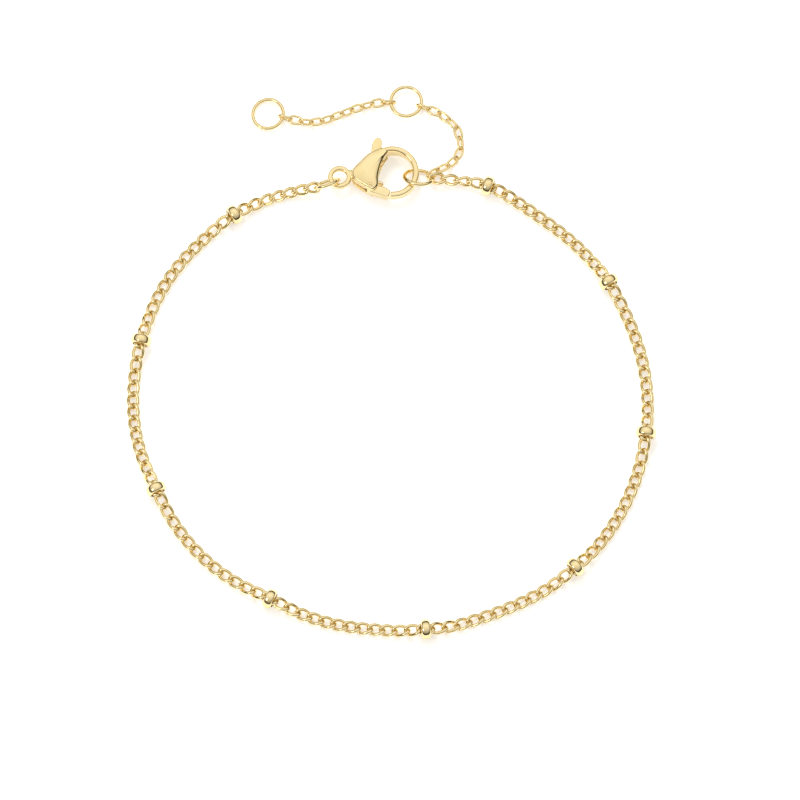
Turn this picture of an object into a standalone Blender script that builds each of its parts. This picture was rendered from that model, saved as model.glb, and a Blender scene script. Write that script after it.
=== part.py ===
"""Chain bracelet: a curb chain with nine ring beads, a lobster clasp, jump rings and an extension chain.

It lies closed on a flat surface. Metres, +Z up, the origin under the middle of the whole bracelet.
"""

import math

import bmesh
import bpy
import numpy as np
from mathutils import Matrix

MM = 0.001
UP = np.array([0.0, 0.0, 1.0])

# Curb chain: oval links, each twisted about the chain's line along its own length
LINK_PITCH = 1.405 * MM
LINK_WIRE = 0.41 * MM
LINK_WIDTH = 1.51 * MM
LINK_TWIST = math.radians(-45)
LINK_SQUARENESS = 2.3

# Height of a link's middle when it lies flat, above its wire's, as a share of its half width
LINK_LIE = 0.435

# How far a link's wire faces along the link rather than across it
WIRE_FACING = 0.6

# Ring beads, threaded on the curb chain
BEAD_DIAMETER = 2.26 * MM
BEAD_LENGTH = 1.05 * MM
BEAD_CROWN = 0.55 * MM
BEAD_PLAY = 0.06 * MM
BEAD_REACH = 4.2 * MM

# Where each bead lies along the curb chain from the clasp's ring, in millimetres
BEAD_PLACES = [10.05, 28.7, 46.65, 65.2, 83.1, 101.5, 119.5, 138.15, 156.05]

# Extension: plain oval links, each a quarter turn on from the last
FINE_PITCH = 1.24 * MM
FINE_WIRE = 0.3 * MM
FINE_WIDTH = 1.24 * MM
FINE_SLACK = 0.05 * MM
FINE_SQUARENESS = 2.3
FINE_LEAN = math.radians(25)
FINE_REACH = 3.7 * MM

# Meshing of every wire: corners round a loop, and sides round the wire
LOOP_CORNERS = 10
WIRE_SIDES = 5
WIRE_FULLNESS = 1.06

# Jump rings
CLASP_RING_DIAMETER = 3.2 * MM
CLASP_RING_WIRE = 0.43 * MM
JUNCTION_RING_DIAMETER = 3.7 * MM
JUNCTION_RING_WIRE = 0.46 * MM
EXTENSION_RING_DIAMETER = 3.9 * MM
EXTENSION_RING_WIRE = 0.43 * MM
RING_PLAY = 0.1 * MM

# How the jump rings lean on what they pass through
CLASP_RING_HEADING = math.radians(22)
CLASP_RING_LEAN = math.radians(62)
JUNCTION_RING_HEADING = math.radians(-7.6)
JUNCTION_RING_LEAN = math.radians(42.4)

# Lobster clasp, in its own frame: x from the eye's middle to the hook, y towards the thumb tab
CLASP_THICKNESS = 2.6 * MM
PLATE_THICKNESS = 0.45 * MM
PLATE_CHAMFER = 0.15 * MM
HOUSING_START = 1.4 * MM
HOUSING_LENGTH = 4.03 * MM
HOUSING_HEIGHT = 5.0 * MM
EYE_DIAMETER = 2.7 * MM
EYE_HOLE = 1.5 * MM
EYE_THICKNESS = 0.75 * MM
NECK_WIDTH = 1.15 * MM
NECK_THICKNESS = 0.67 * MM
NECK_RISE = 0.15 * MM
NECK_SINK = 0.4 * MM
HOOK_REACH = 0.57 * MM
HOOK_CENTRE = (HOUSING_START + HOUSING_LENGTH + HOOK_REACH, 0.1 * HOUSING_HEIGHT)
HOOK_HALF_LENGTH = 2.6 * MM
HOOK_HALF_WIDTH = 2.66 * MM
HOOK_BAND = 0.74 * MM
HOOK_ROOT_THICKNESS = 2.2 * MM
HOOK_TIP_THICKNESS = 1.28 * MM
HOOK_TAPER = 0.42
HOOK_CHAMFER = 0.16 * MM
HOOK_START = math.radians(112)
HOOK_STEPS = 11
SEAM_GAP = 0.09 * MM
PIVOT = (HOUSING_START + 0.496 * HOUSING_LENGTH, -0.25 * HOUSING_HEIGHT)
PIN_DIAMETER = 0.5 * MM
PIN_PLAY = 0.08 * MM
LEVER_THICKNESS = 1.36 * MM
LEVER_CHAMFER = 0.1 * MM
LEVER_TIP = 2.4 * MM

# Where things lie in plan, from the middle of the loop
CLASP_PLACE = (-5.9 * MM, 26.4 * MM)
CLASP_RING_PLACE = (-7.35 * MM, 25.65 * MM)
JUNCTION_RING_PLACE = (3.0 * MM, 26.4 * MM)
MIDDLE_RING_PLACE = (1.6 * MM, 35.7 * MM)
END_RING_PLACE = (-14.0 * MM, 34.3 * MM)

# Chosen points of each chain's route in plan, between the rings that hold its ends
LOOP_ROUTE = [
    (-12.8, 24.4), (-17.7, 22.1), (-21.7, 18.8), (-25.3, 14.3), (-28.2, 6.9), (-29.0, 0.2), (-28.4, -4.8),
    (-26.4, -10.2), (-23.0, -16.0), (-18.9, -20.0), (-13.4, -23.2), (-7.2, -25.7), (-1.0, -26.6), (3.6, -26.7),
    (9.9, -25.2), (15.0, -23.1), (20.4, -19.5), (24.4, -14.8), (27.0, -9.6), (28.4, -3.8), (28.5, 2.0),
    (26.6, 9.6), (24.3, 14.1), (20.4, 18.9), (16.0, 22.4), (11.0, 25.4), (7.3, 26.2),
]
INNER_ROUTE = [(5.6, 27.7), (6.7, 28.3), (7.6, 29.5), (7.7, 31.2), (7.2, 32.7), (5.9, 33.9), (4.5, 34.7)]
OUTER_ROUTE = [(-1.9, 35.5), (-3.4, 35.1), (-6.0, 34.1), (-7.5, 33.5), (-9.1, 33.2), (-10.6, 33.4)]

# Roll of the curb chain about its own line: links from the nearer end of the chain, and degrees
START_ROLLS = [(2, -55), (4, -50), (6, -12), (8, 0)]
END_ROLLS = [(2, -70), (4, -30), (7, 0)]

# Where a ring's wire passes through a curb link, as a share of the link's half length
RING_SHARE = 0.45
SETTLING_PASSES = 3

# The chain's two nodes meet this many links past the middle bead
LINKS_PAST_BEAD = 3

# Steps along each route
ROUTE_STEPS = 4000

# Outline of the clasp's housing, as shares of its length and height
HOUSING_OUTLINE = [
    (-0.01, 0.08), (0.02, -0.06), (0.25, -0.225), (0.57, -0.38), (0.707, -0.26), (0.72, -0.06),
    (0.765, 0.16), (0.86, 0.37), (1.00, 0.54), (0.94, 0.64), (0.68, 0.61), (0.44, 0.51), (0.19, 0.31),
]
CORNER_BLOCK = [(0.88, 0.47), (0.965, 0.525), (0.93, 0.61), (0.87, 0.605)]
NECK_BLOCK = [(0.03, -0.01), (0.13, -0.10), (0.13, 0.20), (0.04, 0.10)]
LOWER_WALL = [(0.06, -0.07), (0.25, -0.215), (0.345, -0.262), (0.322, -0.206), (0.275, -0.155), (0.12, -0.03)]

# Outline of the lever from its pivot, as shares of the hook's half length and half width
LEVER_ARM = [(0.42, -0.375), (0.66, -0.455)]
LEVER_INNER = [(0.60, -0.03), (0.34, 0.20)]
LEVER_BAR = [(0.26, 0.55), (0.28, 1.08), (0.45, 1.60), (0.53, 1.92)]
LEVER_TAB = [(0.50, 2.09), (0.39, 2.18), (0.25, 2.14), (0.13, 1.99), (0.08, 1.80)]
LEVER_BACK = [(0.05, 1.60), (-0.08, 1.05), (-0.155, 0.50), (-0.165, 0.05)]
LEVER_KNUCKLE = [(-0.11, -0.15), (0.04, -0.26), (0.20, -0.31)]

SHARP_EDGE = math.radians(40)


def clear_scene():
    for item in list(bpy.data.objects):
        bpy.data.objects.remove(item, do_unlink=True)


def metal(name, colour, roughness):
    """A polished metal material."""
    made = bpy.data.materials.new(name)
    made.use_nodes = True
    shader = made.node_tree.nodes["Principled BSDF"]
    shader.inputs["Base Color"].default_value = (*colour, 1.0)
    shader.inputs["Metallic"].default_value = 1.0
    shader.inputs["Roughness"].default_value = roughness
    return made


def new_object(name, shape, material, parent):
    """An object of the shape, with its faces pointing out and its round parts shaded smooth."""
    bmesh.ops.recalc_face_normals(shape, faces=shape.faces)
    mesh = bpy.data.meshes.new(name)
    shape.to_mesh(mesh)
    shape.free()
    mesh.shade_smooth()
    mesh.set_sharp_from_angle(angle=SHARP_EDGE)
    mesh.materials.append(material)
    made = bpy.data.objects.new(name, mesh)
    bpy.context.scene.collection.objects.link(made)
    made.parent = parent
    return made


def unit(vectors):
    return vectors / np.linalg.norm(vectors, axis=-1, keepdims=True)


def smooth_through(points, steps):
    """Close points along the natural cubic spline through the points, in even steps of the chord length."""
    points = np.asarray(points, float)
    gaps = np.linalg.norm(np.diff(points, axis=0), axis=1)
    run = np.concatenate([[0.0], np.cumsum(gaps)])
    matrix = np.eye(len(points))
    right = np.zeros_like(points)
    for i in range(1, len(points) - 1):
        matrix[i, i - 1 : i + 2] = gaps[i - 1], 2 * (gaps[i - 1] + gaps[i]), gaps[i]
        slopes = (points[i + 1] - points[i]) / gaps[i], (points[i] - points[i - 1]) / gaps[i - 1]
        right[i] = 6 * (slopes[0] - slopes[1])
    bend = np.linalg.solve(matrix, right)
    at = np.linspace(0, run[-1], steps + 1)
    k = np.clip(np.searchsorted(run, at, side="right") - 1, 0, len(points) - 2)
    gap = gaps[k][:, None]
    b = (at - run[k])[:, None] / gap
    a = 1 - b
    curve = a * points[k] + b * points[k + 1]
    return curve + ((a**3 - a) * bend[k] + (b**3 - b) * bend[k + 1]) * gap**2 / 6


def run_along(curve):
    return np.concatenate([[0.0], np.cumsum(np.linalg.norm(np.diff(curve, axis=0), axis=1))])


def points_at(curve, at):
    """The curve's points at these distances along it."""
    run = run_along(curve)
    return np.stack([np.interp(at, run, curve[:, i]) for i in range(curve.shape[1])], axis=1)


def hump(distance, reach):
    """1 at distance 0, falling smoothly to 0 at the reach and beyond."""
    share = np.clip(np.abs(distance) / reach, 0, 1)
    return 0.5 + 0.5 * np.cos(math.pi * share)


def wire_loop(centres, inward, radius):
    """Corners of a wire bent round a closed loop of centres: one ring of corners at each centre.

    Each ring has a flat side facing inward, between its last corner and its first.
    """
    leaving = unit(np.roll(centres, -1, axis=0) - centres)
    along = unit(leaving + np.roll(leaving, 1, axis=0))
    inward = unit(inward - (inward * along).sum(1, keepdims=True) * along)
    across = np.cross(along, inward)
    mitre = (along * leaving).sum(1, keepdims=True)
    angle = 2 * math.pi * (np.arange(WIRE_SIDES) + 0.5) / WIRE_SIDES
    toward = np.cos(angle)[None, :, None] * (inward / mitre)[:, None]
    return centres[:, None] + radius * (toward + np.sin(angle)[None, :, None] * across[:, None])


def add_loft(shape, rings, left_open=()):
    """Adds a ring-shaped surface through rings of corners. Returns the corner vertices.

    A pair (ring, side) in left_open gets no face.
    """
    corners = [[shape.verts.new(point) for point in ring] for ring in rings]
    sides = len(corners[0])
    for k, ring in enumerate(corners):
        onward = corners[(k + 1) % len(corners)]
        for j in range(sides):
            if (k, j) not in left_open:
                shape.faces.new((ring[j], ring[(j + 1) % sides], onward[(j + 1) % sides], onward[j]))
    return corners


def link_surface(length, width, wire, twist, squareness):
    """Corner rings of one link lying along x with its middle at the origin.

    The wire's middle follows a squarish oval, turned about x by up to the twist at each end.
    """
    angle = 2 * math.pi * (np.arange(LOOP_CORNERS) + 0.5) / LOOP_CORNERS
    power = 2 / squareness
    end = math.cos(math.pi / LOOP_CORNERS) ** power
    x = np.sign(np.cos(angle)) * np.abs(np.cos(angle)) ** power * (length - wire) / 2 / end
    side = np.sign(np.sin(angle)) * np.abs(np.sin(angle)) ** power * (width - wire) / 2
    turn = twist * x / ((length - wire) / 2)
    centres = np.stack([x, side * np.cos(turn), side * np.sin(turn)], axis=1)
    inward = np.stack([-WIRE_FACING * x, -centres[:, 1], -centres[:, 2]], axis=1)
    return wire_loop(centres, inward, wire / 2 * WIRE_FULLNESS)


def link_axes(start, end, roll):
    """The link's middle, and its x, y and z as rows: x along the chain, y level before the roll."""
    along = unit(end - start)
    level = unit(np.cross(UP, along))
    upright = np.cross(along, level)
    y = math.cos(roll) * level + math.sin(roll) * upright
    return (start + end) / 2, np.stack([along, y, np.cross(along, y)])


def add_bridge(shape, first, second):
    """Joins two open four-cornered sides that face each other, corner to nearest corner."""
    a = np.array([tuple(v.co) for v in first])
    b = np.array([tuple(v.co) for v in second])
    turned = [[second[(shift - k) % 4] for k in range(4)] for shift in range(4)]
    cost = [sum(np.linalg.norm(a[k] - b[(shift - k) % 4]) for k in range(4)) for shift in range(4)]
    partner = turned[int(np.argmin(cost))]
    for k in range(4):
        shape.faces.new((first[k], first[(k + 1) % 4], partner[(k + 1) % 4], partner[k]))


def add_chain(shape, holds, rolls, wire, width, twist, squareness, slack):
    """Adds links, one between each two hold points, fused where each hangs on the next.

    A hold point is where the inner sides of two links' ends meet.
    """
    inner = WIRE_SIDES - 1
    right_end = LOOP_CORNERS - 1
    left_end = LOOP_CORNERS // 2 - 1
    waiting = None
    for k in range(len(holds) - 1):
        middle, axes = link_axes(holds[k], holds[k + 1], rolls[k])
        length = np.linalg.norm(holds[k + 1] - holds[k]) + 2 * wire + slack
        rings = link_surface(length, width, wire, twist, squareness) @ axes + middle
        left_open = []
        if k > 0:
            left_open.append((left_end, inner))
        if k < len(holds) - 2:
            left_open.append((right_end, inner))
        corners = add_loft(shape, rings, left_open)
        left = open_side(corners, left_end, inner)
        if waiting:
            add_bridge(shape, waiting, left)
        waiting = open_side(corners, right_end, inner)


def open_side(corners, ring, side):
    """The four vertices of one side of a lofted surface, in order round it."""
    onward = corners[(ring + 1) % len(corners)]
    last = (side + 1) % len(corners[ring])
    return [corners[ring][side], corners[ring][last], onward[last], onward[side]]


def ring_axes(heading, lean):
    """A leaning ring's two directions: along its level diameter, and down its leaning one."""
    level = np.array([math.cos(heading), math.sin(heading), 0.0])
    aside = np.array([-math.sin(heading), math.cos(heading), 0.0])
    return level, math.cos(lean) * aside - math.sin(lean) * UP


def jump_ring(place, diameter, wire, axes, lift=0.0):
    """The middle and directions of a ring whose lowest point is lifted this much off the surface."""
    radius = (diameter - wire) / 2
    drop = radius * math.hypot(axes[0][2], axes[1][2])
    return np.array([*place, lift + drop + wire / 2]), axes, radius, wire


def hanger(ring, toward, height):
    """Where a chain pulled toward a point of its route hangs on a ring.

    Returns the middle of the ring's wire there, the wire's direction, and how far behind it a link's hold is.
    """
    middle, axes, radius, wire = ring
    pull = np.array([toward[0] * MM, toward[1] * MM, height]) - middle
    angle = math.atan2(pull @ axes[1], pull @ axes[0])
    point = middle + radius * (math.cos(angle) * axes[0] + math.sin(angle) * axes[1])
    return point, math.cos(angle) * axes[1] - math.sin(angle) * axes[0], wire / 2 + RING_PLAY


def plan_between(start, route, end):
    """The chain's curve in plan, from behind one ring's wire, through its route, to behind the other's."""
    route = np.array(route) * MM
    first = start[0][:2] + start[2] * unit(start[0][:2] - route[0])
    last = end[0][:2] + end[2] * unit(end[0][:2] - route[-1])
    return smooth_through([first, *route, last], ROUTE_STEPS)


def hung(points, height, start, end):
    """Hold points over these points of the plan, with each end link in line with its ring's wire."""
    holds = np.concatenate([points, height[:, None]], axis=1)
    for tip, neighbour, (point, _, setback) in ((0, 1, start), (-1, -2, end)):
        holds[tip] = point + setback * unit(point - holds[neighbour])
    return holds


def make_ring(name, ring, material, parent):
    middle, axes, radius, wire = ring
    angle = 2 * math.pi * (np.arange(LOOP_CORNERS) + 0.5) / LOOP_CORNERS
    outward = np.cos(angle)[:, None] * axes[0] + np.sin(angle)[:, None] * axes[1]
    reach = radius / math.sqrt(math.cos(math.pi / LOOP_CORNERS))
    shape = bmesh.new()
    add_loft(shape, wire_loop(middle + reach * outward, -outward, wire / 2 * WIRE_FULLNESS))
    return new_object(name, shape, material, parent)


def roll_across(start, end, wire_direction):
    """The roll that sets a link's level side square across a wire that it hangs on."""
    _, axes = link_axes(start, end, 0.0)
    square = np.cross(axes[0], wire_direction)
    return math.atan2(square @ axes[2], square @ axes[1])


def nearest_turn(angle, wanted, step):
    """The angle, a whole number of steps away, that comes nearest to the wanted one."""
    return angle + step * round((wanted - angle) / step)


def loop_route(clasp_ring, junction_ring):
    """Hold points and rolls of the curb chain, and the number of the link that carries each bead."""
    start = hanger(clasp_ring, LOOP_ROUTE[0], LINK_WIDTH / 2)
    end = hanger(junction_ring, LOOP_ROUTE[-1], LINK_WIDTH / 2)
    curve = plan_between(start, LOOP_ROUTE, end)
    length = run_along(curve)[-1]
    count = round(length / LINK_PITCH)
    places = np.array(BEAD_PLACES) * MM
    beads = [round(place * count / length - 0.5) for place in places]
    at = np.interp(np.arange(count + 1), [0, *(bead + 0.5 for bead in beads), count], [0, *places, length])
    points = points_at(curve, at)
    flat = LINK_WIRE / 2 + LINK_LIE * (LINK_WIDTH - LINK_WIRE) / 2
    number = np.arange(count)
    rolls = np.zeros(count)
    for _ in range(SETTLING_PASSES):
        turned = np.abs(np.sin(np.append(rolls, rolls[-1])))
        lie = flat + (LINK_WIDTH / 2 - flat) * turned
        height = lie.copy()
        for place in places:
            height += (BEAD_DIAMETER / 2 - lie) * hump(at - place, BEAD_REACH)
        height += (start[0][2] - lie) * hump(at, BEAD_REACH)
        height += (end[0][2] - lie) * hump(at[-1] - at, BEAD_REACH)
        for bead in beads:
            height[bead : bead + 2] = BEAD_DIAMETER / 2
        holds = hung(points, height, start, end)
        start_roll = roll_across(holds[0], holds[1], start[1]) + RING_SHARE * LINK_TWIST
        end_roll = roll_across(holds[-2], holds[-1], end[1]) - RING_SHARE * LINK_TWIST
        starting = (nearest_turn(start_roll, 0.0, math.pi), *np.radians([turn for _, turn in START_ROLLS]))
        ending = (nearest_turn(end_roll, -math.pi / 2, math.pi), *np.radians([turn for _, turn in END_ROLLS]))
        rolls = np.interp(number, (0, *(links for links, _ in START_ROLLS)), starting)
        rolls += np.interp(count - 1 - number, (0, *(links for links, _ in END_ROLLS)), ending)
    return holds, rolls, beads


def fine_route(route, start_ring, end_ring):
    """Hold points and rolls of a stretch of the extension chain between two rings."""
    start = hanger(start_ring, route[0], FINE_WIDTH / 2)
    end = hanger(end_ring, route[-1], FINE_WIDTH / 2)
    curve = plan_between(start, route, end)
    length = run_along(curve)[-1]
    count = round(length / FINE_PITCH)
    at = np.linspace(0, length, count + 1)
    points = points_at(curve, at)
    rolls = np.zeros(count)
    for _ in range(SETTLING_PASSES):
        stand = np.maximum(np.abs(np.sin(rolls)), np.abs(np.cos(rolls)))
        lie = (FINE_WIDTH - FINE_WIRE) / 2 * np.append(stand, stand[-1]) + FINE_WIRE / 2
        height = lie + (start[0][2] - lie) * hump(at, FINE_REACH)
        height += (end[0][2] - lie) * hump(at[-1] - at, FINE_REACH)
        holds = hung(points, height, start, end)
        start_roll = roll_across(holds[0], holds[1], start[1])
        end_roll = roll_across(holds[-2], holds[-1], end[1])
        end_roll = nearest_turn(end_roll, start_roll + math.pi / 2 * (count - 1), math.pi)
        rolls = np.linspace(start_roll, end_roll, count) + FINE_LEAN * np.sin(math.pi * np.linspace(0, 1, count))
    return holds, rolls


def make_curb_chain(name, holds, rolls, material, parent):
    shape = bmesh.new()
    add_chain(shape, holds, rolls, LINK_WIRE, LINK_WIDTH, LINK_TWIST, LINK_SQUARENESS, 0.0)
    return new_object(name, shape, material, parent)


def make_fine_chain(name, holds, rolls, material, parent):
    shape = bmesh.new()
    add_chain(shape, holds, rolls, FINE_WIRE, FINE_WIDTH, 0.0, FINE_SQUARENESS, FINE_SLACK)
    return new_object(name, shape, material, parent)


def make_bead(name, start, end, material, parent):
    """A turned ring with its hole along the chain's line: flat at the hole's rims, rounded to its crown."""
    middle, axes = link_axes(start, end, 0.0)
    hole = (LINK_WIDTH / 2 + BEAD_PLAY) / math.cos(math.pi / LOOP_CORNERS)
    profile = [
        (-BEAD_LENGTH / 2, hole),
        (-BEAD_CROWN / 2, BEAD_DIAMETER / 2),
        (BEAD_CROWN / 2, BEAD_DIAMETER / 2),
        (BEAD_LENGTH / 2, hole),
    ]
    rings = []
    for k in range(LOOP_CORNERS):
        angle = 2 * math.pi * (k + 0.5) / LOOP_CORNERS
        outward = math.cos(angle) * axes[1] + math.sin(angle) * axes[2]
        rings.append([middle + x * axes[0] + radius * outward for x, radius in profile])
    shape = bmesh.new()
    add_loft(shape, rings)
    return new_object(name, shape, material, parent)


def housing_points(shares):
    return [(HOUSING_START + x * HOUSING_LENGTH, y * HOUSING_HEIGHT) for x, y in shares]


def moved_in(outline, by):
    """The outline with each edge moved in by this much. Its corners run counter-clockwise."""
    points = np.array(outline)
    onward = unit(np.roll(points, -1, axis=0) - points)
    inward = np.stack([-onward[:, 1], onward[:, 0]], axis=1)
    before = np.roll(inward, 1, axis=0)
    return points + by * (inward + before) / (1 + (inward * before).sum(1, keepdims=True))


def prism(outlines):
    """A solid through outlines of one corner count, each given with its height."""
    shape = bmesh.new()
    rings = [[shape.verts.new((x, y, z)) for x, y in outline] for outline, z in outlines]
    shape.faces.new(rings[0])
    shape.faces.new(rings[-1])
    for low, high in zip(rings, rings[1:]):
        for j in range(len(low)):
            onward = (j + 1) % len(low)
            shape.faces.new((low[j], low[onward], high[onward], high[j]))
    return shape


def circle(centre, radius, corners):
    turn = 2 * math.pi / corners
    return [
        (centre[0] + radius * math.cos(turn * (k + 0.5)), centre[1] + radius * math.sin(turn * (k + 0.5)))
        for k in range(corners)
    ]


def plate(facing):
    """One of the housing's two plates, chamfered on its outer side. Facing is 1 for the front, -1 for the back."""
    outer = facing * CLASP_THICKNESS / 2
    outline = housing_points(HOUSING_OUTLINE)
    return prism([
        (outline, outer - facing * PLATE_THICKNESS),
        (outline, outer - facing * PLATE_CHAMFER),
        (moved_in(outline, PLATE_CHAMFER), outer),
    ])


def between_plates(shares):
    """A block from one plate to the other, sunk halfway into each."""
    half = CLASP_THICKNESS / 2 - PLATE_THICKNESS / 2
    outline = housing_points(shares)
    return prism([(outline, -half), (outline, half)])


def eye():
    """The clasp's flat eye: a square-edged ring."""
    shape = bmesh.new()
    half = EYE_THICKNESS / 2
    rings = []
    for k in range(LOOP_CORNERS + 2):
        angle = 2 * math.pi * (k + 0.5) / (LOOP_CORNERS + 2)
        across = np.array([math.cos(angle), math.sin(angle), 0.0])
        section = [(EYE_HOLE / 2, -half), (EYE_DIAMETER / 2, -half), (EYE_DIAMETER / 2, half), (EYE_HOLE / 2, half)]
        rings.append([radius * across + z * UP for radius, z in section])
    add_loft(shape, rings)
    return shape


def neck():
    """The short bar from the eye's rim into the housing."""
    start = (EYE_HOLE + EYE_DIAMETER) / 4
    end = HOUSING_START + NECK_SINK
    outline = [
        (start, -NECK_WIDTH / 2),
        (end, NECK_RISE - NECK_WIDTH / 2),
        (end, NECK_RISE + NECK_WIDTH / 2),
        (start, NECK_WIDTH / 2),
    ]
    half = NECK_THICKNESS / 2
    return prism([(outline, -half), (outline, half)])


def hook_point(angle, outward=0.0):
    """A point of the hook's oval at this angle, moved outward from the band's middle."""
    x = HOOK_CENTRE[0] + (HOOK_HALF_LENGTH + outward) * math.cos(angle)
    return x, HOOK_CENTRE[1] + (HOOK_HALF_WIDTH + outward) * math.sin(angle)


def seam_angle(radius, outward):
    """The angle round the hook at which its band's side is this far from the lever's pivot."""
    low, high = -math.pi / 2 - 0.6, -math.pi / 2 + 0.6
    for _ in range(50):
        middle = (low + high) / 2
        x, y = hook_point(middle, outward)
        if math.hypot(x - PIVOT[0], y - PIVOT[1]) < radius:
            low = middle
        else:
            high = middle
    return middle


def hook():
    """The hook's band round its oval, from the housing's corner to the seam, thinning over its first stretch.

    Its end follows a circle about the lever's pivot, so that the lever's tip swings clear of it.
    """
    side, face = HOOK_BAND / 2, HOOK_BAND / 2 - HOOK_CHAMFER
    section = [
        (-side, -1, HOOK_CHAMFER), (-face, -1, 0.0), (face, -1, 0.0), (side, -1, HOOK_CHAMFER),
        (side, 1, HOOK_CHAMFER), (face, 1, 0.0), (-face, 1, 0.0), (-side, 1, HOOK_CHAMFER),
    ]
    ends = {out: seam_angle(LEVER_TIP + SEAM_GAP, out) for out, _, _ in section}
    shape = bmesh.new()
    rings = []
    for k in range(HOOK_STEPS + 1):
        share = k / HOOK_STEPS
        thinned = min(share / HOOK_TAPER, 1.0)
        half = (HOOK_ROOT_THICKNESS + (HOOK_TIP_THICKNESS - HOOK_ROOT_THICKNESS) * thinned) / 2
        ring = []
        for out, facing, chamfer in section:
            angle = HOOK_START + (ends[out] - HOOK_START) * share
            ring.append(shape.verts.new((*hook_point(angle, out), facing * (half - chamfer))))
        rings.append(ring)
    shape.faces.new(rings[0])
    shape.faces.new(rings[-1])
    for ring, onward in zip(rings, rings[1:]):
        for j in range(len(section)):
            following = (j + 1) % len(section)
            shape.faces.new((ring[j], ring[following], onward[following], onward[j]))
    return shape


def pin(diameter, half):
    outline = circle(PIVOT, diameter / 2, LOOP_CORNERS)
    return prism([(outline, -half), (outline, half)])


def hidden_shape(name, shape, parent, group):
    """A helper solid that a Boolean reads, left out of renders."""
    material = bpy.data.materials["polished_gold"]
    made = new_object(name, shape, material, parent)
    made.hide_render = True
    made.display_type = "WIRE"
    bpy.context.scene.collection.objects.unlink(made)
    group.objects.link(made)
    return made


def make_clasp_body(material, frame):
    """The cast body: eye, neck, two plates with blocks between them, pivot pin and hook, as one solid."""
    group = bpy.data.collections.new("clasp_body_pieces")
    bpy.context.scene.collection.children.link(group)
    pieces = {
        "back_plate": plate(-1),
        "eye_ring": eye(),
        "neck": neck(),
        "neck_block": between_plates(NECK_BLOCK),
        "corner_block": between_plates(CORNER_BLOCK),
        "lower_wall": between_plates(LOWER_WALL),
        "pivot_pin": pin(PIN_DIAMETER, CLASP_THICKNESS / 2 - PLATE_THICKNESS / 2),
        "hook_band": hook(),
    }
    for name, shape in pieces.items():
        hidden_shape(name, shape, frame, group)
    body = new_object("clasp_body", plate(1), material, frame)
    union = body.modifiers.new("pieces", "BOOLEAN")
    union.operation = "UNION"
    union.operand_type = "COLLECTION"
    union.collection = group
    return body


def lever_outline():
    """The lever's outline from its pivot: arm, tip, inner edge, bar, thumb tab and knuckle."""
    outer = hook_point(seam_angle(LEVER_TIP, HOOK_BAND / 2), HOOK_BAND / 2)
    inner = hook_point(seam_angle(LEVER_TIP, -HOOK_BAND / 2), -HOOK_BAND / 2)
    tip = [(x - PIVOT[0], y - PIVOT[1]) for x, y in (outer, inner)]
    shares = [*LEVER_INNER, *LEVER_BAR, *LEVER_TAB, *LEVER_BACK, *LEVER_KNUCKLE, *LEVER_ARM]
    return [*tip, *((x * HOOK_HALF_LENGTH, y * HOOK_HALF_WIDTH) for x, y in shares)]


def make_lever(material, frame):
    """The sprung lever. Its origin is on its pivot."""
    half = LEVER_THICKNESS / 2
    outline = lever_outline()
    thin = moved_in(outline, LEVER_CHAMFER)
    shape = prism([(thin, -half), (outline, LEVER_CHAMFER - half), (outline, half - LEVER_CHAMFER), (thin, half)])
    lever = new_object("clasp_lever", shape, material, frame)
    lever.location = (*PIVOT, 0.0)
    group = bpy.data.collections.new("clasp_lever_cutters")
    bpy.context.scene.collection.children.link(group)
    cutter = hidden_shape("pivot_bore", pin(PIN_DIAMETER + 2 * PIN_PLAY, CLASP_THICKNESS), frame, group)
    bore = lever.modifiers.new("pivot_bore", "BOOLEAN")
    bore.operation = "DIFFERENCE"
    bore.object = cutter
    return lever


def centre_on_origin(root):
    """Moves the root so that the middle of the whole bracelet's base is at the world's origin."""
    bpy.context.view_layer.update()
    graph = bpy.context.evaluated_depsgraph_get()
    corners = []
    for item in bpy.context.scene.objects:
        if item.type == "MESH" and not item.hide_render:
            solid = item.evaluated_get(graph)
            corners += [np.array(item.matrix_world @ Matrix.Translation(c).translation) for c in solid.bound_box]
    low, high = np.min(corners, axis=0), np.max(corners, axis=0)
    root.location = (-(low[0] + high[0]) / 2, -(low[1] + high[1]) / 2, -low[2])


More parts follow.
